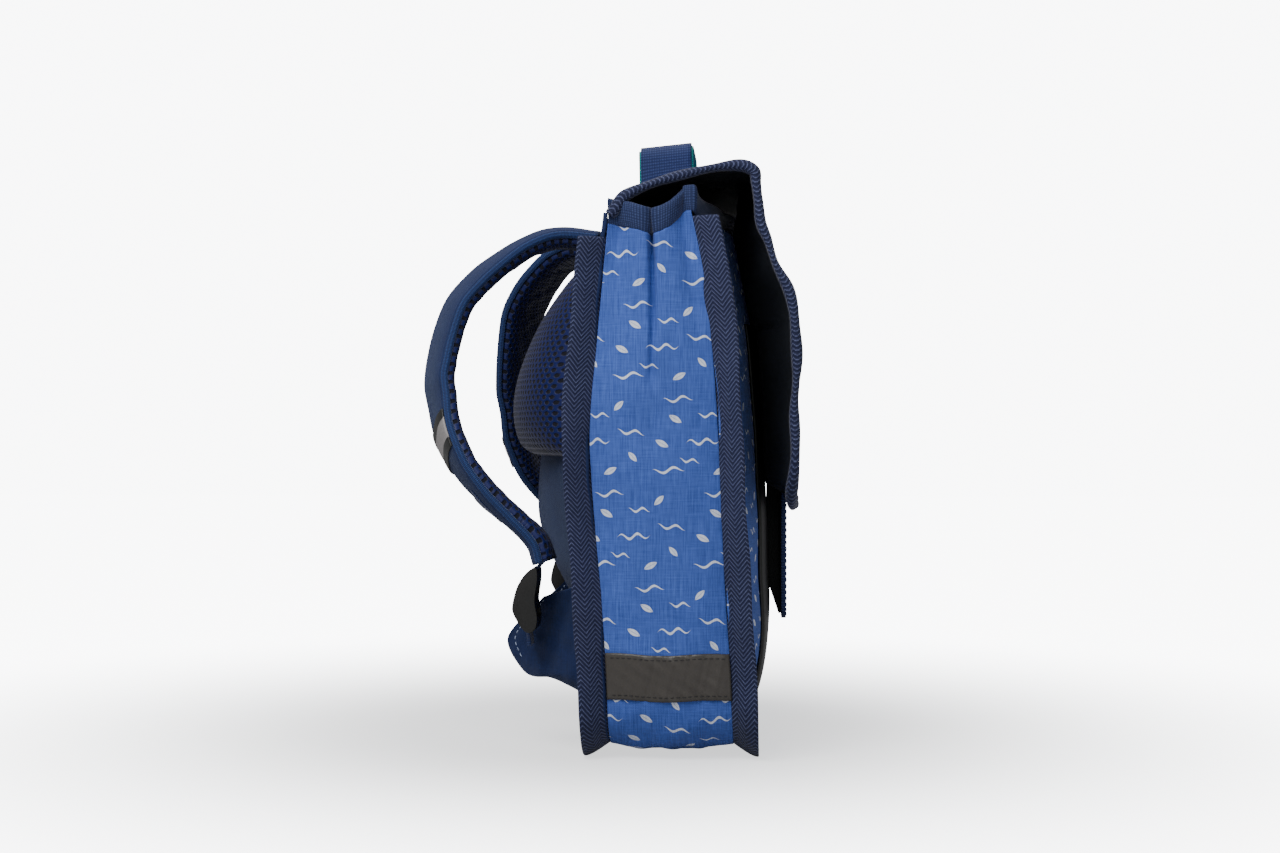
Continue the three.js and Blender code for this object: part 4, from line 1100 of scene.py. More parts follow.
# %% Seam bindings
def body_line(top, spacing=2.2):
    """The body seam from the near top, round the bottom, to the far top, evenly spaced."""
    inner = float(side_x(SEAM_Z + CORNER)) - CORNER
    path = [(-float(side_x(z)), z) for z in np.linspace(top, SEAM_Z + CORNER, 160)]
    for angle in np.linspace(0, math.pi / 2, 30)[1:]:
        path.append((-inner - CORNER * math.cos(angle), SEAM_Z + CORNER * (1 - math.sin(angle))))
    path = np.array(path + [(-x, z) for x, z in reversed(path)])
    run = run_of(path)
    even = np.linspace(0, run[-1], int(run[-1] / spacing))
    return np.interp(even, run, path[:, 0]), np.interp(even, run, path[:, 1]), even


def binding_object(name, seam, facing, top, phase, node):
    """A folded tape along a body seam. It leans outward and never reaches below the floor."""
    x, z, run = body_line(top)
    ahead = np.stack([np.gradient(x), np.gradient(z)], axis=1)
    ahead /= np.linalg.norm(ahead, axis=1, keepdims=True)
    out = np.stack([ahead[:, 1], -ahead[:, 0]], axis=1)
    out *= np.sign((out * np.stack([x, z - 150], axis=1)).sum(axis=1))[:, None]
    tilt = math.radians(30) + 0.16 * ripple(run, 0 * run, 110, phase) * ease(20, 70, z)
    turn = full_turn(22)
    reach = 4.4 - 8.8 * np.cos(turn)
    shape = np.sin(turn) * (0.82 + 0.5 * (np.maximum(reach, 0) / 13) ** 1.5) * 1.55
    low = z < 20
    rings = []
    for k in range(len(run)):
        outward_way = np.array([out[k, 0], 0, out[k, 1]])
        level = np.array([0.0, facing, 0.0])
        sine, cosine = math.sin(tilt[k]), math.cos(tilt[k])
        reach_way = outward_way * sine + level * cosine
        lift_way = level * sine - outward_way * cosine
        swell = 1 + 0.12 * math.sin(run[k] / 7.3 + phase) + 0.1 * math.sin(run[k] / 3.1)
        wave = 0.5 * math.sin(run[k] / 17 + phase) * (not low[k])
        centre = np.array([x[k], float(seam(z[k])), z[k]])
        ring = (centre + reach[:, None] * reach_way + (shape * swell + wave)[:, None] * lift_way)
        ring[:, 2] = np.maximum(ring[:, 2], -SHIFT_Z + 0.02)
        rings.append(ring)
    folded = 6.6 - np.concatenate([reach, reach[:1]])
    piece = tube_object(name, rings, run, folded)
    finished(piece, navy_herringbone, "navy_binding", node)


binding_object("back_binding_tape", back_y, 1, 281.0, 0.3, "back_seam_binding")
binding_object("front_binding_tape", front_y, -1, 292.0, 2.1, "front_seam_binding")

# %% [markdown]
# ## Mouth tape
# The mouth's edge is bound with a wide ribbed tape. It is a flat tube that follows the gathered
# edge: it dips in the middle of the gusset, rolls outward at the pleat and rises to a soft peak
# at the front corner.

# %% Mouth tape
MOUTH_TAPE_HALF = 7.1
TAPE_SEAT = 14.0


def mouth_line():
    """Points of the mouth seam from the back of the near side, along the front, to the far side."""
    across = np.linspace(0.0, 1, 70)[:-1]
    z = mouth_z(across) - TAPE_SEAT
    y = np.minimum(gusset_y(z, across), gusset_y(MOUTH_Z + 0 * z, 0 * across))
    x = side_x(z) + bow(z, across) - 1.0
    x = x + 0.8 * np.sin(across * 8 + 0.4) * np.sin(np.pi * across)
    z_front = float(mouth_z(1)) - TAPE_SEAT
    share = np.linspace(1, 0, 40)
    front_x = share * half_width(z_front)
    dip = 2.0 * (1 - share) + 6.5 * (1 - np.exp((share - 1) / 0.08))
    near = np.stack([-x, y, z], axis=1)
    ahead = np.stack([-front_x, front_face(front_x, z_front + 0 * share) + 1.0,
                      z_front - dip], axis=1)
    half = np.concatenate([near, ahead])
    return np.concatenate([half, (half * [-1, 1, 1])[::-1][1:]])


line = mouth_line()
run = run_of(line)
even = np.linspace(0, run[-1], 330)
line = line_at(line, run, even)
flat_way = np.gradient(line, axis=0)
flat_way[:, 2] = 0
flat_way /= np.linalg.norm(flat_way, axis=1, keepdims=True)
lift_way = np.stack([flat_way[:, 1], -flat_way[:, 0], 0 * even], axis=1)
lift_way[:6] = lift_way[6]
lift_way[-6:] = lift_way[-7]
turn = full_turn(24)
reach = MOUTH_TAPE_HALF * (1 - np.sign(np.cos(turn)) * np.abs(np.cos(turn)) ** 0.75)
shape = 1.9 * np.sign(np.sin(turn)) * np.abs(np.sin(turn)) ** 0.6 * (0.75 + 0.03 * reach)
rings = []
for k, here in enumerate(line):
    lean = 0.10 * math.sin(even[k] / 21.0) + 0.07 * math.sin(even[k] / 8.3 + 1)
    swell = 1 + 0.12 * math.sin(even[k] / 6.1)
    ring = here + reach[:, None] * np.array([0, 0, 1.0])
    ring = ring + (shape * swell + lean * reach)[:, None] * lift_way[k]
    rings.append(ring)
around = np.concatenate([turn, [2 * math.pi]])
mouth = tube_object("mouth_edge_tape", rings, even, MOUTH_TAPE_HALF * np.cos(around))
finished(mouth, navy_grosgrain, "navy_binding", "mouth_tape")

# %% [markdown]
# ## Flap
# The flap starts at the back seam, runs over the mouth and turns down in front. It is one printed
# sheet with a black lining, and its middle is drawn in toward the stuffed front. A flap shows its
# weight in long, lazy waves down its sides, which the edge binding repeats.

# %% Flap tables and face
FLAP = table_of(("along", "reach", "rise", "drop", "tuck"), [
    (0.0, 0.02, 0.12, 0.0, 0.0), (0.061, 0.144, 0.48, 0.0, 0.0), (0.138, 0.325, 0.75, 0.0, 0.0),
    (0.199, 0.469, 0.93, 0.0, 0.0), (0.261, 0.62, 1.0, 0.0, 0.0), (0.296, 0.71, 1.0, 0.0, 0.12),
    (0.322, 0.766, 1.0, 0.016, 0.38), (0.348, 0.782, 1.0, 0.051, 0.5),
    (0.387, 0.799, 1.0, 0.109, 0.61), (0.431, 0.81, 1.0, 0.174, 0.61),
    (0.469, 0.843, 1.0, 0.225, 0.68), (0.523, 0.877, 1.0, 0.303, 0.78),
    (0.581, 0.934, 1.0, 0.383, 0.96), (0.645, 0.969, 1.0, 0.474, 0.93),
    (0.74, 0.977, 1.0, 0.615, 0.85), (0.84, 0.974, 1.0, 0.765, 0.73),
    (0.93, 0.968, 1.0, 0.9, 0.42), (1.0, 0.955, 1.0, 1.0, 0.165)])
FLAP_WIDTH, FLAP_CORNER, FLAP_TUCK, FLAP_LENGTH = 232.0, 24.0, 19.0, 260.0
FLAP_RISE, FLAP_DROP = 23.0, 175.0
FLAP_REACH = float(back_y(MOUTH_Z) - front_face(0.0, MOUTH_Z - 87.5)) + 26.2
flap_read = {name: shaped(lambda along, name=name: read(FLAP, "along", name, along))
             for name in ("reach", "rise", "drop", "tuck")}


def flap_line(along):
    """Depth and height of the flap's line, before its middle is drawn in."""
    y = float(back_y(MOUTH_Z)) - FLAP_REACH * flap_read["reach"](along)
    z = MOUTH_Z + FLAP_RISE * flap_read["rise"](along)
    return y, z - FLAP_DROP * flap_read["drop"](along)


def flap_sag():
    """How far the flap's middle must come in, along its length, to touch the front."""
    along = np.linspace(0, 1, 201)
    y, z = flap_line(along)
    y = y + FLAP_TUCK * flap_read["tuck"](along)
    front = front_face(0 * z, np.minimum(z, MOUTH_Z)) - np.where(z < 238, 3.0, 0.8)
    need = np.maximum(front - 1.2 - y, 0)
    return along, need * (1 - ease(294, 304, z)) * (1 - ease(0.975, 1, along))


def flap_half(along):
    drop = np.maximum(FLAP_CORNER - (1 - np.asarray(along, float)) * FLAP_LENGTH, 0)
    return FLAP_WIDTH / 2 - FLAP_CORNER + np.sqrt(np.maximum(FLAP_CORNER**2 - drop**2, 0))


FLAP_SAG = flap_sag()


def flap_point(x, along):
    x, along = np.broadcast_arrays(np.asarray(x, float), np.asarray(along, float))
    middle = (1 - np.minimum(np.abs(x) / (FLAP_WIDTH / 2), 1) ** 2) ** 2
    crown = 3.0 * middle * (1 - ease(0.26, 0.34, along)) * ease(0, 0.1, along)
    crown = crown - 5.5 * (1 - ease(0, 0.045, along))
    y, z = flap_line(along)
    y = y + middle * (FLAP_TUCK * flap_read["tuck"](along) + np.interp(along, *FLAP_SAG))
    z = z + crown
    wave = 0.8 * ripple(x * 0.5, along * FLAP_LENGTH, 52, 0.7) * ease(0.03, 0.15, along)
    down = ease(0.28, 0.36, along)
    return np.stack([x, y - wave * down, z + wave * (1 - down)], axis=-1)


def flap_grid(lift, rows=150, columns=110):
    s, along = np.meshgrid(np.linspace(-1, 1, columns), np.linspace(0, 1, rows))
    x = s * flap_half(along)
    points = flap_point(x, along)
    normal = grid_normals(points)
    normal *= np.where(normal[rows // 2, columns // 2, 1] > 0, -1, 1)
    return points - normal * lift, np.stack([x, (1 - along) * FLAP_LENGTH], axis=2)


flap = two_layers("flap_cloth", flap_grid, -0.1, 1.7)
finished(flap, printed_canvas, "printed_canvas", "flap")
lining = two_layers("flap_lining_cloth", flap_grid, 2.1, 3.1)
finished(lining, black_lining, "black_lining", "flap_lining")

# %% Flap binding
def flap_edge():
    """The flap's edge, from the near back corner, round the lower end, to the far back corner."""
    corner = 1 - FLAP_CORNER / FLAP_LENGTH
    rows = [(-FLAP_WIDTH / 2, along, -1.0, 0.0) for along in np.linspace(0.006, corner, 200)]
    for angle in np.linspace(0, math.pi / 2, 24)[1:]:
        rows.append((-FLAP_WIDTH / 2 + FLAP_CORNER * (1 - math.cos(angle)),
                     corner + FLAP_CORNER * math.sin(angle) / FLAP_LENGTH,
                     -math.cos(angle), math.sin(angle)))
    for share in np.linspace(0, 1, 60)[1:]:
        rows.append(((FLAP_CORNER - FLAP_WIDTH / 2) * (1 - share), 1.0, 0.0, 1.0))
    rows = np.array(rows)
    return np.concatenate([rows, (rows * [-1, 1, -1, 1])[::-1][1:]])


rows = flap_edge()
middle_line = flap_point(rows[:, 0], rows[:, 1])
run = run_of(middle_line)
turn = full_turn(22)
reach = 4.9 - 4.7 * np.cos(turn)
rings = []
for k, (x, along, out_x, out_along) in enumerate(rows):
    later = flap_point(x, min(along + 0.008, 1.0))
    sooner = flap_point(x, max(along - 0.008, 0.0))
    down_way = (later - sooner) / np.linalg.norm(later - sooner)
    side_way = flap_point(x + 1, along) - flap_point(x - 1, along)
    side_way = side_way / np.linalg.norm(side_way)
    normal = np.cross(side_way, down_way)
    reach_way = side_way * out_x + down_way * out_along
    puff = 1 + 0.16 * math.sin(run[k] / 5.7) + 0.14 * math.sin(run[k] / 13.0 + 1)
    slip = 0.6 * math.sin(run[k] / 15.0) + 0.3 * math.sin(run[k] / 6.2)
    lift = np.sin(turn) * 2.9 * puff * (0.75 + 0.035 * reach)
    centre = middle_line[k] + normal * 1.6 * np.sign(np.dot(normal, [0, 1, 0.01]) + 1e-9)
    if along < 0.3:
        centre = middle_line[k] + np.array([0, 0, -1.6])
    rings.append(centre + reach[:, None] * reach_way + (lift + slip * 0.5)[:, None] * normal)
around = np.concatenate([turn, [2 * math.pi]])
edge = tube_object("flap_edge_binding", rings, run, 6.5 * np.cos(around))
finished(edge, navy_herringbone, "navy_binding", "flap_binding")

# %% [markdown]
# ## Closure tab
# A wide tab hangs from the middle of the flap's edge. It is navy webbing outside and a thicker
# black layer behind, whose lower end is cut on a slant. Both are outlines, extruded and given
# rounded edges with a bevel.

# %% Closure tab
def outlined_block(name, outline, depth_way, depth, bevel, origin, first, second):
    """An outline of two coordinates, extruded, with bevelled edges and cloth UVs."""
    work = bmesh.new()
    first, second, depth_way = (np.array(way, float) for way in (first, second, depth_way))
    base = np.array(origin, float)
    low = [work.verts.new(base + a * first + b * second) for a, b in outline]
    high = [work.verts.new(base + a * first + b * second + depth * depth_way) for a, b in outline]
    work.faces.new(low)
    work.faces.new(high[::-1])
    count = len(outline)
    for i in range(count):
        work.faces.new((low[i], high[i], high[(i + 1) % count], low[(i + 1) % count]))
    bmesh.ops.recalc_face_normals(work, faces=work.faces)
    bmesh.ops.bevel(work, geom=list(work.edges), offset=bevel, segments=3, profile=0.6,
                    affect="EDGES", clamp_overlap=True)
    layer = work.loops.layers.uv.new("cloth")
    for corner_face in work.faces:
        corner_face.smooth = True
        for loop in corner_face.loops:
            spot = np.array(loop.vert.co) - base
            loop[layer].uv = (float(spot @ second) * MM, float(spot @ first) * MM)
    for vertex in work.verts:
        vertex.co = place(*vertex.co)
    mesh = bpy.data.meshes.new(name)
    work.to_mesh(mesh)
    work.free()
    thing = bpy.data.objects.new(name, mesh)
    bpy.context.scene.collection.objects.link(thing)
    return thing


def rounded_tongue(half, length, radius, count=10):
    """Outline of a tongue: straight top, rounded lower corners."""
    points = [(-half, 7.0)]
    for angle in np.linspace(math.pi, 1.5 * math.pi, count):
        points.append((radius - half + radius * math.cos(angle),
                       radius - length + radius * math.sin(angle)))
    for angle in np.linspace(1.5 * math.pi, 2 * math.pi, count):
        points.append((half - radius + radius * math.cos(angle),
                       radius - length + radius * math.sin(angle)))
    return points + [(half, 7.0)]


TAB_HALF, TAB_LENGTH, TAB_CORNER = 21, 67, 10
hem = flap_point(0.0, 1.0)
hem_y, hem_z = float(hem[1]) - 0.2, float(hem[2]) - 9.0
tongue = rounded_tongue(TAB_HALF, TAB_LENGTH, TAB_CORNER)
tab = outlined_block("closure_tab_webbing", tongue, (0, 1, 0), 2.9, 0.7,
                     (0, hem_y, hem_z), (1, 0, 0), (0, 0, 1))
finished(tab, navy_webbing, "navy_webbing", "closure_tab")
side_view = [(0, 11), (0, -63.5), (1.2, -64), (8.2, -43), (8.2, 11)]
tab_back = outlined_block("closure_tab_back_layer", side_view, (1, 0, 0), 33, 0.6,
                          (-16.5, hem_y + 3.2, hem_z), (0, 1, 0), (0, 0, 1))
finished(tab_back, black_lining, "black_lining", "closure_tab_back")
tongue = np.array([(x * 0.9, z + 1.6) for x, z in tongue])
tongue = np.stack([tongue[:, 0], np.full(len(tongue), hem_y - 0.05), hem_z + tongue[:, 1]], axis=1)
stitch_row("tab_stitches", tongue, np.tile([0, -1, 0], (len(tongue), 1)), stitch_thread,
           "navy_webbing", length=2.6, space=1.0, radius=0.25)

# %% [markdown]
# ## Handle
# A webbing loop stands on the flap's top: two legs, a flat top and bent corners. A teal
# tape is sewn inside it, and its edge shows as a bright line around the top.

# %% Handle
def flap_top_z(x, y):
    along = np.linspace(0, 0.3, 200)
    points = flap_point(np.full(200, x), along)
    return float(np.interp(-y, -points[:, 1], points[:, 2]))


HANDLE_HALF, HANDLE_RISE, HANDLE_FORWARD, HANDLE_CORNER = 42.0, 27.0, 30.5, 8.0


def webbing_loop(name, inset, thickness, width, material, slot, node, droop):
    """A flat layer of the handle. Its feet follow the flap's top, and its corners are bent."""
    centre_y = float(back_y(MOUTH_Z)) - HANDLE_FORWARD
    top = flap_top_z(0.0, centre_y) + HANDLE_RISE
    foot = flap_top_z(HANDLE_HALF, centre_y) + 0.6
    across = np.linspace(-width / 2, width / 2, 11)
    seat = {here: flap_top_z(HANDLE_HALF, centre_y + here) - foot for here in across}
    corner = HANDLE_CORNER
    path = [(-HANDLE_HALF, foot + (top - corner - foot) * t, 0.0) for t in np.linspace(0, 1, 8)]
    for angle in np.linspace(0, math.pi / 2, 10)[1:]:
        path.append((-HANDLE_HALF + corner * (1 - math.cos(angle)),
                     top - corner + corner * math.sin(angle), angle))
    for x in np.linspace(-HANDLE_HALF + corner, 0, 14)[1:]:
        sag = droop * (1 - (x / (HANDLE_HALF - corner)) ** 2)
        path.append((x, top - sag, math.pi / 2))
    path = np.array(path)
    path = np.concatenate([path, (path * [-1, 1, -1] + [0, 0, math.pi])[::-1][1:]])
    rings = []
    for x, z, angle in path:
        out = np.array([-math.cos(angle), 0, math.sin(angle)])
        face = [(here, -inset) for here in across]
        rear = [(here, -inset - thickness) for here in across[::-1]]
        low = np.clip(1 - (z - foot) / 18, 0, 1)
        rings.append([np.array([x, centre_y + here + 0.024 * (z - foot),
                                z + low * seat[here] - 0.1 * here * (1 - low)])
                      + out * lift for here, lift in face + rear])
    around = np.concatenate([across, across[::-1], across[:1]])
    finished(tube_object(name, rings, run_of(path[:, :2]), around), material, slot, node)


webbing_loop("handle_webbing_loop", 0.0, 1.9, 29.0, navy_webbing, "navy_webbing",
             "handle_webbing", 0.8)
webbing_loop("handle_teal_tape", 1.95, 1.2, 31.2, teal_tape, "teal_backing",
             "handle_backing", -0.6)

# %% [markdown]
# ## Back pad
# The pad is foam under spacer mesh, sewn down all round. It is the one cushion of the bag, so its
# cover is simulated: a plain plump block is remeshed and blown up a little with the cloth
# solver, so that its edges round off and pull in. The honeycomb is laid on afterwards.

# %% Back pad
PAD_SHARE, PAD_BASE, PAD_HEIGHT, PAD_SWELL = 0.9, 163.5, 107, 0.88


def pad_grid(rows, columns):
    s, share = np.meshgrid(
        np.linspace(-PAD_SHARE, PAD_SHARE, columns), np.linspace(0, 1, rows))
    z = PAD_BASE + PAD_HEIGHT * share
    x = s * half_width(z)
    across = (1 - np.abs(s / PAD_SHARE) ** 5).clip(0, 1)
    upward = np.sqrt(np.sin(np.pi * share**0.85).clip(0, 1))
    rise = 2.6 + 22.2 * across**0.8 * upward * PAD_SWELL
    base = back_face(x, z)
    face = np.stack([x, base + 0.7 + rise, z], axis=2)
    back = np.stack([x, base - 5.0, z], axis=2)
    return face, back, np.stack([x, z], axis=2)


def blown_up(thing, cap, pressure=4.0):
    """Remeshes a block, lets the cloth solver plump it, and limits how far it moves."""
    remesh = thing.modifiers.new("even_mesh", "REMESH")
    remesh.mode = "VOXEL"
    remesh.voxel_size = 0.0045
    for_mesh = bpy.context.evaluated_depsgraph_get()
    mesh = bpy.data.meshes.new_from_object(thing.evaluated_get(for_mesh))
    thing.modifiers.clear()
    thing.data = mesh
    start = np.array([vertex.co for vertex in mesh.vertices])
    held = thing.vertex_groups.new(name="sewn_edge")
    for index, point in enumerate(start):
        depth = point[1] / MM - SHIFT_Y - float(
            back_face(point[0] / MM, point[2] / MM - SHIFT_Z))
        if depth < 1.0:
            held.add([index], 1.0, "REPLACE")
    cloth = thing.modifiers.new("plump", "CLOTH")
    cloth.settings.quality = 5
    cloth.settings.use_pressure = True
    cloth.settings.uniform_pressure_force = pressure
    cloth.settings.effector_weights.gravity = 0
    cloth.settings.vertex_group_mass = "sewn_edge"
    for number in range(1, 21):
        bpy.context.scene.frame_set(number)
    view = thing.evaluated_get(bpy.context.evaluated_depsgraph_get())
    moved = np.array([vertex.co for vertex in view.data.vertices])
    thing.modifiers.clear()
    step = moved - start
    size = np.linalg.norm(step, axis=1, keepdims=True)
    step = step * np.minimum(1, cap / np.maximum(size, 1e-9))
    for vertex, here in zip(mesh.vertices, start + step):
        vertex.co = here
    bpy.context.scene.frame_set(1)
    smooth = thing.modifiers.new("soft_surface", "SUBSURF")
    smooth.levels = smooth.render_levels = 1
    mesh = bpy.data.meshes.new_from_object(
        thing.evaluated_get(bpy.context.evaluated_depsgraph_get()))
    thing.modifiers.clear()
    thing.data = mesh
    layer = mesh.uv_layers.get("cloth") or mesh.uv_layers.new(name="cloth")
    order = np.empty(len(mesh.loops), np.int32)
    mesh.loops.foreach_get("vertex_index", order)
    points = np.array([vertex.co for vertex in mesh.vertices])
    flat = np.stack([points[:, 0] + 0.4 * points[:, 1] * np.sign(points[:, 0]), points[:, 2]], 1)
    layer.data.foreach_set("uv", flat[order].astype(np.float32).ravel())
    mesh.polygons.foreach_set("use_smooth", [True] * len(mesh.polygons))
    return thing


face, back, uv = pad_grid(40, 70)
pad = blown_up(sheet_object("back_pad_cushion", face, back, uv), 0.004)
finished(pad, spacer_mesh, "navy_mesh", "back_pad")

# %% [markdown]
# ## Shoulder straps
# A strap is foam between a smooth navy outside and a mesh inside, joined by a ribbed edge. It
# leaves the back at the top, swings out and comes back to its adjuster. Each layer is a grid
# along that line: the outside is gently crowned, and the mesh side is fuller with soft dimples.

# %% Shoulder straps
STRAP = table_of(("along", "out", "height"), [
    (0, 0, 0.983), (0.06, 0.247, 1.0), (0.13, 0.44, 0.978), (0.2, 0.613, 0.928),
    (0.28, 0.785, 0.857), (0.35, 0.903, 0.78), (0.43, 0.973, 0.669), (0.52, 1.0, 0.552),
    (0.57, 0.978, 0.482), (0.66, 0.919, 0.377), (0.74, 0.806, 0.278), (0.82, 0.656, 0.196),
    (0.89, 0.495, 0.127), (0.96, 0.349, 0.058), (1.0, 0.306, 0.0)])
STRAP_TOP, STRAP_BASE, TOP_SPREAD, BASE_SPREAD = 288.0, 106.5, 50.0, 104.0
STRAP_REACH, FAR_EASE, STRAP_WIDTH, STRAP_NARROWING = 88.5, 26.0, 48.0, 20.0
strap_out = shaped(lambda along: read(STRAP, "along", "out", along))
strap_height = shaped(lambda along: read(STRAP, "along", "height", along))


def strap_line(side, along):
    along = np.asarray(along, float)
    spread = TOP_SPREAD + (BASE_SPREAD - TOP_SPREAD) * ease(0, 1, along)
    root = float(back_face(TOP_SPREAD, STRAP_TOP)) + 2.6
    slack = 0.0 if side < 0 else FAR_EASE * np.sin(np.pi * along).clip(0, 1) ** 1.5
    y = root + STRAP_REACH * strap_out(along) - slack
    z = STRAP_BASE + (STRAP_TOP - STRAP_BASE) * strap_height(along)
    return np.stack([side * spread, y, z + 0 * y], axis=-1)


def strap_frame(side, along):
    """Places, width direction, outward direction and width of a strap along its line."""
    here = strap_line(side, along)
    heading = strap_line(side, np.minimum(along + 0.012, 1)) - strap_line(
        side, np.maximum(along - 0.012, 0))
    heading /= np.linalg.norm(heading, axis=-1, keepdims=True)
    level = np.array([1.0, 0, 0]) - heading * heading[:, :1]
    level /= np.linalg.norm(level, axis=1, keepdims=True)
    out = np.cross(level, heading)
    roll = (-side * math.radians(20) * np.sin(np.pi * along))[:, None]
    wide = level * np.cos(roll) + out * np.sin(roll)
    out = np.cross(wide, heading)
    out /= np.linalg.norm(out, axis=1, keepdims=True)
    width = STRAP_WIDTH - STRAP_NARROWING * ease(0.7, 1, along)
    return here, wide, out, width


def strap_layer(side, across, depth, along=np.linspace(0, 1, 170)):
    """A grid at a share across the width and a depth from the strap's outer face."""
    here, wide, out, width = strap_frame(side, along)
    points = here[:, None] + wide[:, None] * (width[:, None, None] * across[None, :, None])
    run = run_of(here)
    uv = np.stack(np.broadcast_arrays(
        run[:, None], width[:, None] * across[None, :]), axis=2)
    lift = 5.7 - depth(along[:, None], across[None, :] * 2, run[:, None])
    return points + out[:, None] * lift[:, :, None], uv, run


def crown(s):
    """How deep the strap's outer face lies across its width: flat, with rounded borders."""
    return 0.3 + 2.6 * np.abs(s) ** 3.5


ACROSS = np.linspace(-0.5, 0.5, 31)
for side, label in SIDES:
    face, uv, _ = strap_layer(side, ACROSS, lambda a, s, run: (
        crown(s) + 0.25 * ripple(run, 24 * s, 38, side) * (1 - s**2)))
    back, _, _ = strap_layer(side, ACROSS, lambda a, s, run: 5.2 + 0 * run * s)
    outer = sheet_object(f"strap_cloth_{label}", face, back, uv[:, :, ::-1])
    finished(outer, navy_canvas, "navy_canvas", f"strap_{label}")
    face, uv, _ = strap_layer(side, ACROSS * 0.97, lambda a, s, run: 5.35 + 0 * run * s)
    back, _, _ = strap_layer(side, ACROSS * 0.97, lambda a, s, run: (
        12.8 - 3.6 * np.abs(s) ** 5 - 0.35 * ripple(run, 24 * s, 17, side) * (1 - s**2)))
    inner = sheet_object(f"strap_mesh_pad_{label}", back, face, uv[:, :, ::-1])
    finished(inner, strap_mesh, "navy_mesh", f"strap_mesh_{label}")
    for edge_side, name in ((-0.5, "inner"), (0.5, "outer")):
        line, _, run = strap_layer(side, np.array([edge_side]), lambda a, s, run: 5.2 + 0 * run)
        line = line[:, 0]
        _, wide, out, _ = strap_frame(side, np.linspace(0, 1, 170))
        turn = full_turn(12)
        rings = [line[k] + 1.15 * np.cos(turn)[:, None] * wide[k]
                 + 2.1 * np.sin(turn)[:, None] * out[k] for k in range(len(line))]
        piping = tube_object(f"strap_edge_{name}_{label}", rings, run,
                             2 * np.concatenate([turn, [2 * math.pi]]))
        finished(piping, strap_rib, "navy_canvas")

# %% [markdown]
# The reflective band is wrapped round the outside of the strap and sewn on. It is one strip of
# silver tape between two black edges, and each is a short grid just above the strap's face.

# %% Reflective bands and the bare webbing patch
def strap_patch(name, side, start, end, lift, material, slot, node=None, half=0.5):
    """A thin patch on the strap's outer face between two shares of its length."""
    along = np.linspace(start, end, 30)
    face, uv, _ = strap_layer(side, 2 * half * ACROSS, lambda a, s, run: (
        crown(s) - lift - 0.15 * np.sin(run / 3.0)), along)
    back, _, _ = strap_layer(side, 2 * half * ACROSS, lambda a, s, run: crown(s) + 0 * run, along)
    return finished(sheet_object(name, face, back, uv), material, slot, *([node] if node else []))


for side, label in SIDES:
    strap_patch(f"strap_band_silver_{label}", side, 0.650, 0.695, 0.65, silver_reflector,
                "silver_reflective", f"strap_reflector_{label}", half=0.505)
    strap_patch(f"strap_band_upper_edge_{label}", side, 0.632, 0.652, 0.85, black_edging,
                "silver_reflective", half=0.505)
    strap_patch(f"strap_band_lower_edge_{label}", side, 0.693, 0.713, 0.85, black_edging,
                "silver_reflective", half=0.505)
    strap_patch(f"strap_patch_{label}", side, 0.80, 0.87, 0.5, navy_webbing, "navy_webbing",
                half=0.3)

# %% [markdown]
# ## Adjusters
# The strap ends in a moulded plastic adjuster: a curved lens seen from the side, with two slots
# for the webbing. Its outline is a smooth closed curve through a few measured points, extruded
# and bevelled, and the slots are cut with a boolean.

# %% Strap adjusters
LENS = [(0.05, 1.0), (0.42, 0.93), (0.78, 0.72), (0.97, 0.45), (0.95, 0.3), (0.62, 0.08),
        (0.36, 0.0), (0.1, 0.05), (0.0, 0.22), (0.1, 0.5), (0.0, 0.8)]
ADJUSTER_DEPTH, ADJUSTER_WIDTH, ADJUSTER_HEIGHT = 13.8, 24, 35
ADJUSTER_BASE = STRAP_BASE - 2.6 - ADJUSTER_HEIGHT


def closed_curve(points, count):
    """A smooth closed curve through points."""
    points = np.array(points)
    total = len(points)
    result = []
    for t in np.arange(count) * total / count:
        i, f = int(t), t - int(t)
        p0, p1, p2, p3 = (points[(i + k) % total] for k in (-1, 0, 1, 2))
        result.append(0.5 * (2 * p1 + (p2 - p0) * f + (2 * p0 - 5 * p1 + 4 * p2 - p3) * f**2
                             + (3 * p1 - p0 - 3 * p2 + p3) * f**3))
    return [tuple(point) for point in result]


def adjuster_y(side):
    return float(strap_line(side, np.array([1.0]))[0, 1]) + 2


for side, label in SIDES:
    outline = [(out * ADJUSTER_DEPTH, up * ADJUSTER_HEIGHT) for out, up in closed_curve(LENS, 44)]
    corner = (side * BASE_SPREAD - ADJUSTER_WIDTH / 2, adjuster_y(side), ADJUSTER_BASE)
    lens = outlined_block(f"adjuster_{label}", outline, (1, 0, 0), ADJUSTER_WIDTH, 1.3,
                          corner, (0, 1, 0), (0, 0, 1))
    for up in (0.3, 0.62):
        bpy.ops.mesh.primitive_cube_add(
            size=1, location=place(side * BASE_SPREAD, adjuster_y(side),
                                   ADJUSTER_BASE + up * ADJUSTER_HEIGHT))
        slot = bpy.context.object
        slot.scale = (0.016, 0.08, 0.004)
        cut = lens.modifiers.new("slot", "BOOLEAN")
        cut.operation, cut.object, cut.solver = "DIFFERENCE", slot, "EXACT"
        mesh = bpy.data.meshes.new_from_object(
            lens.evaluated_get(bpy.context.evaluated_depsgraph_get()))
        lens.modifiers.clear()
        lens.data = mesh
        bpy.data.objects.remove(slot)
    finished(lens, brown_plastic, "brown_plastic", f"strap_adjuster_{label}")

# %% [markdown]
# ## Side wings
# A folded triangle of cloth is sewn to each lower back seam and holds the webbing. It is limp, so
# it hangs in a few deep folds. Its stitches are pale and show on the dark cloth.

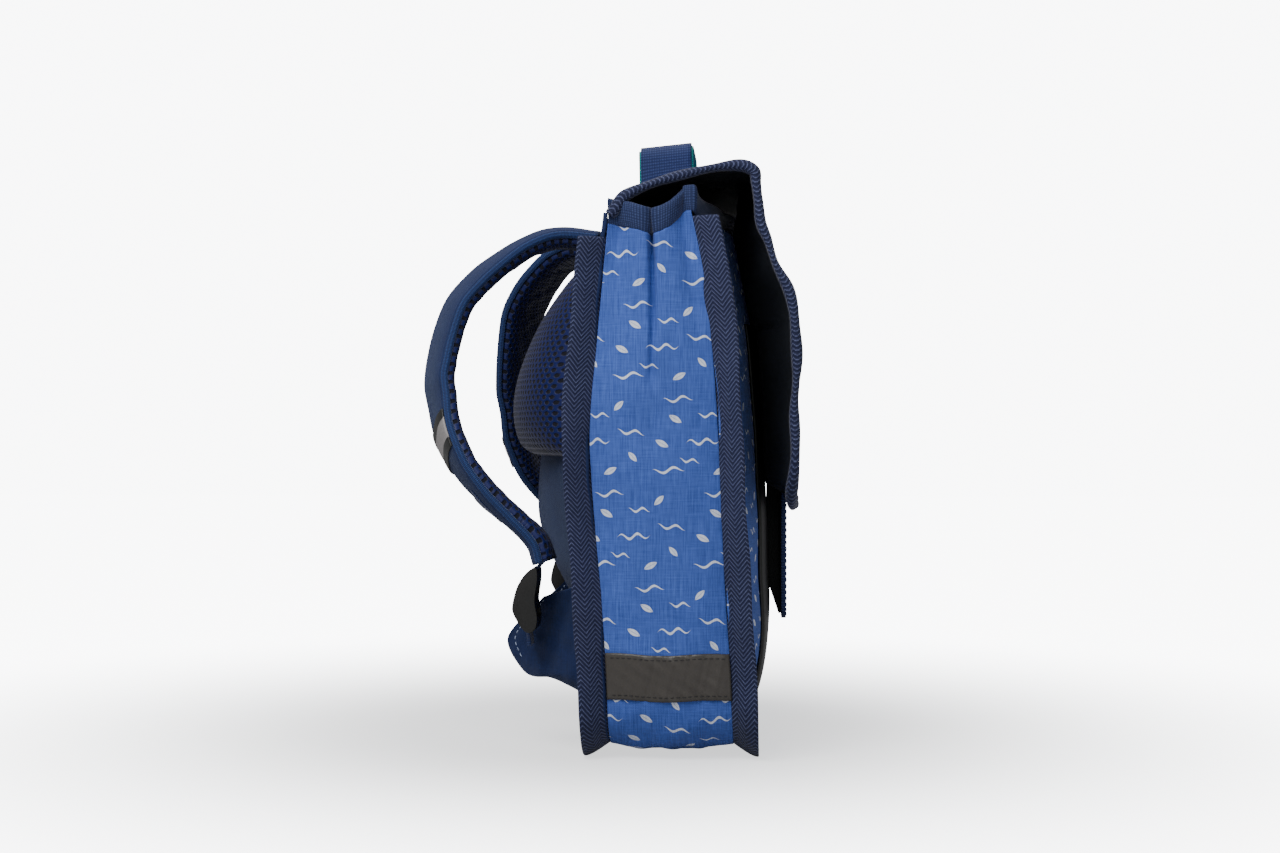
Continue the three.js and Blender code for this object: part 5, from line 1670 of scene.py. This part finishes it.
# %% Side wings
WING = table_of(("along", "reach", "height"), [
    (0, 0.5, 0.855), (0.16, 0.67, 0.73), (0.3, 0.82, 0.62), (0.45, 1.0, 0.435),
    (0.56, 0.917, 0.26), (0.66, 0.78, 0.145), (0.78, 0.535, 0.145), (0.9, 0.34, 0.097),
    (1.0, 0.13, 0.02)])
wing_reach = shaped(lambda along: read(WING, "along", "reach", along))
wing_height = shaped(lambda along: read(WING, "along", "height", along))


WING_X, WING_TOP, WING_LOW, WING_REACH, WING_INWARD = 118.0, 96.0, 34.0, 52.0, 49.0


def wing_seat(z):
    return back_face(WING_X, z) + 1.5


def wing_points(side, across, along):
    seat_z = WING_TOP - (WING_TOP - WING_LOW) * along
    edge_z = WING_LOW + (WING_TOP - WING_LOW) * wing_height(along)
    edge_y = wing_seat(edge_z) + WING_REACH * wing_reach(along)
    y = wing_seat(seat_z) + (edge_y - wing_seat(seat_z)) * across
    z = seat_z + (edge_z - seat_z) * across
    inward = WING_INWARD * (y - wing_seat(z)) / WING_REACH
    fold = 3.5 * np.sin(2 * np.pi * (along - 0.45)) * np.sin(np.pi * across)
    crease = 2.2 * np.sin(9 * along + 2.5 * across) * across * ease(0, 0.25, along)
    crease += 0.8 * ripple(y, z, 16, side)
    return np.stack([side * (WING_X - inward + fold + crease), y, z], axis=-1)


for side, label in SIDES:
    across, along = np.meshgrid(np.linspace(0, 1, 50), np.linspace(0, 1, 80))
    points = wing_points(side, across, along)
    normal = grid_normals(points)
    uv = np.stack([points[:, :, 1], points[:, :, 2]], axis=2)
    wing = sheet_object(
        f"side_wing_cloth_{label}", points + normal * 0.9, points - normal * 0.9, uv)
    finished(wing, navy_canvas, "navy_canvas", f"side_wing_{label}")
    for share, name in ((0.12, "seam"), (0.9, "hem")):
        column = int(share * 49)
        line = points[3:46, column] + normal[3:46, column] * 0.95
        stitch_row(f"wing_stitches_{name}_{label}", line, normal[3:46, column],
                   pale_thread, "navy_canvas", length=2.4, space=1.4, radius=0.26)

# %% [markdown]
# ## Lower webbing
# A flat webbing comes out of the strap's end and reaches into the adjuster. A second one runs on
# from the adjuster's foot to the wing, so only a few millimetres of it show.

# %% Lower webbing
def flat_web(name, line, run, half):
    """A webbing 2 mm thick, level across, along a line of points."""
    across = np.linspace(-half, half, 9)
    section = [(a, 1.0) for a in across] + [(a, -1.0) for a in across[::-1]]
    rings = [[here + np.array([a, lift, 0]) for a, lift in section] for here in line]
    return tube_object(name, rings, run, np.concatenate([across, across[::-1], across[:1]]))


for side, label in SIDES:
    end_y = adjuster_y(side)
    hang = [strap_line(side, np.array([t]))[0] for t in (0.93, 0.97, 1.0)]
    hang += [np.array([side * BASE_SPREAD, end_y + 4.5, 100.0]),
             np.array([side * BASE_SPREAD, end_y + 6.5, 91.5])]
    hang = line_at(np.array(hang), range(5), np.linspace(0, 4, 22))
    web = flat_web(f"strap_end_web_{label}", hang, np.arange(22) * 1.6, 9)
    finished(web, navy_webbing, "navy_webbing")
    y = end_y + 0.4 * ADJUSTER_DEPTH
    low_z = ADJUSTER_BASE - 8
    wing_x = WING_X - WING_INWARD * (y - float(wing_seat(WING_LOW))) / WING_REACH
    low_x = wing_x + 1 + 3.5 + 0.3 + 10
    path = [(BASE_SPREAD * side, y + 1.5, low_z + 17), (BASE_SPREAD * side, y, low_z + 8),
            (side * (low_x + 2), y, low_z + 4), (side * low_x, y, low_z)]
    path = line_at(np.array(path), range(4), np.linspace(0, 3, 14))
    web = flat_web(f"lower_web_{label}", path, run_of(path), 8)
    finished(web, navy_webbing, "navy_webbing", f"lower_webbing_{label}")
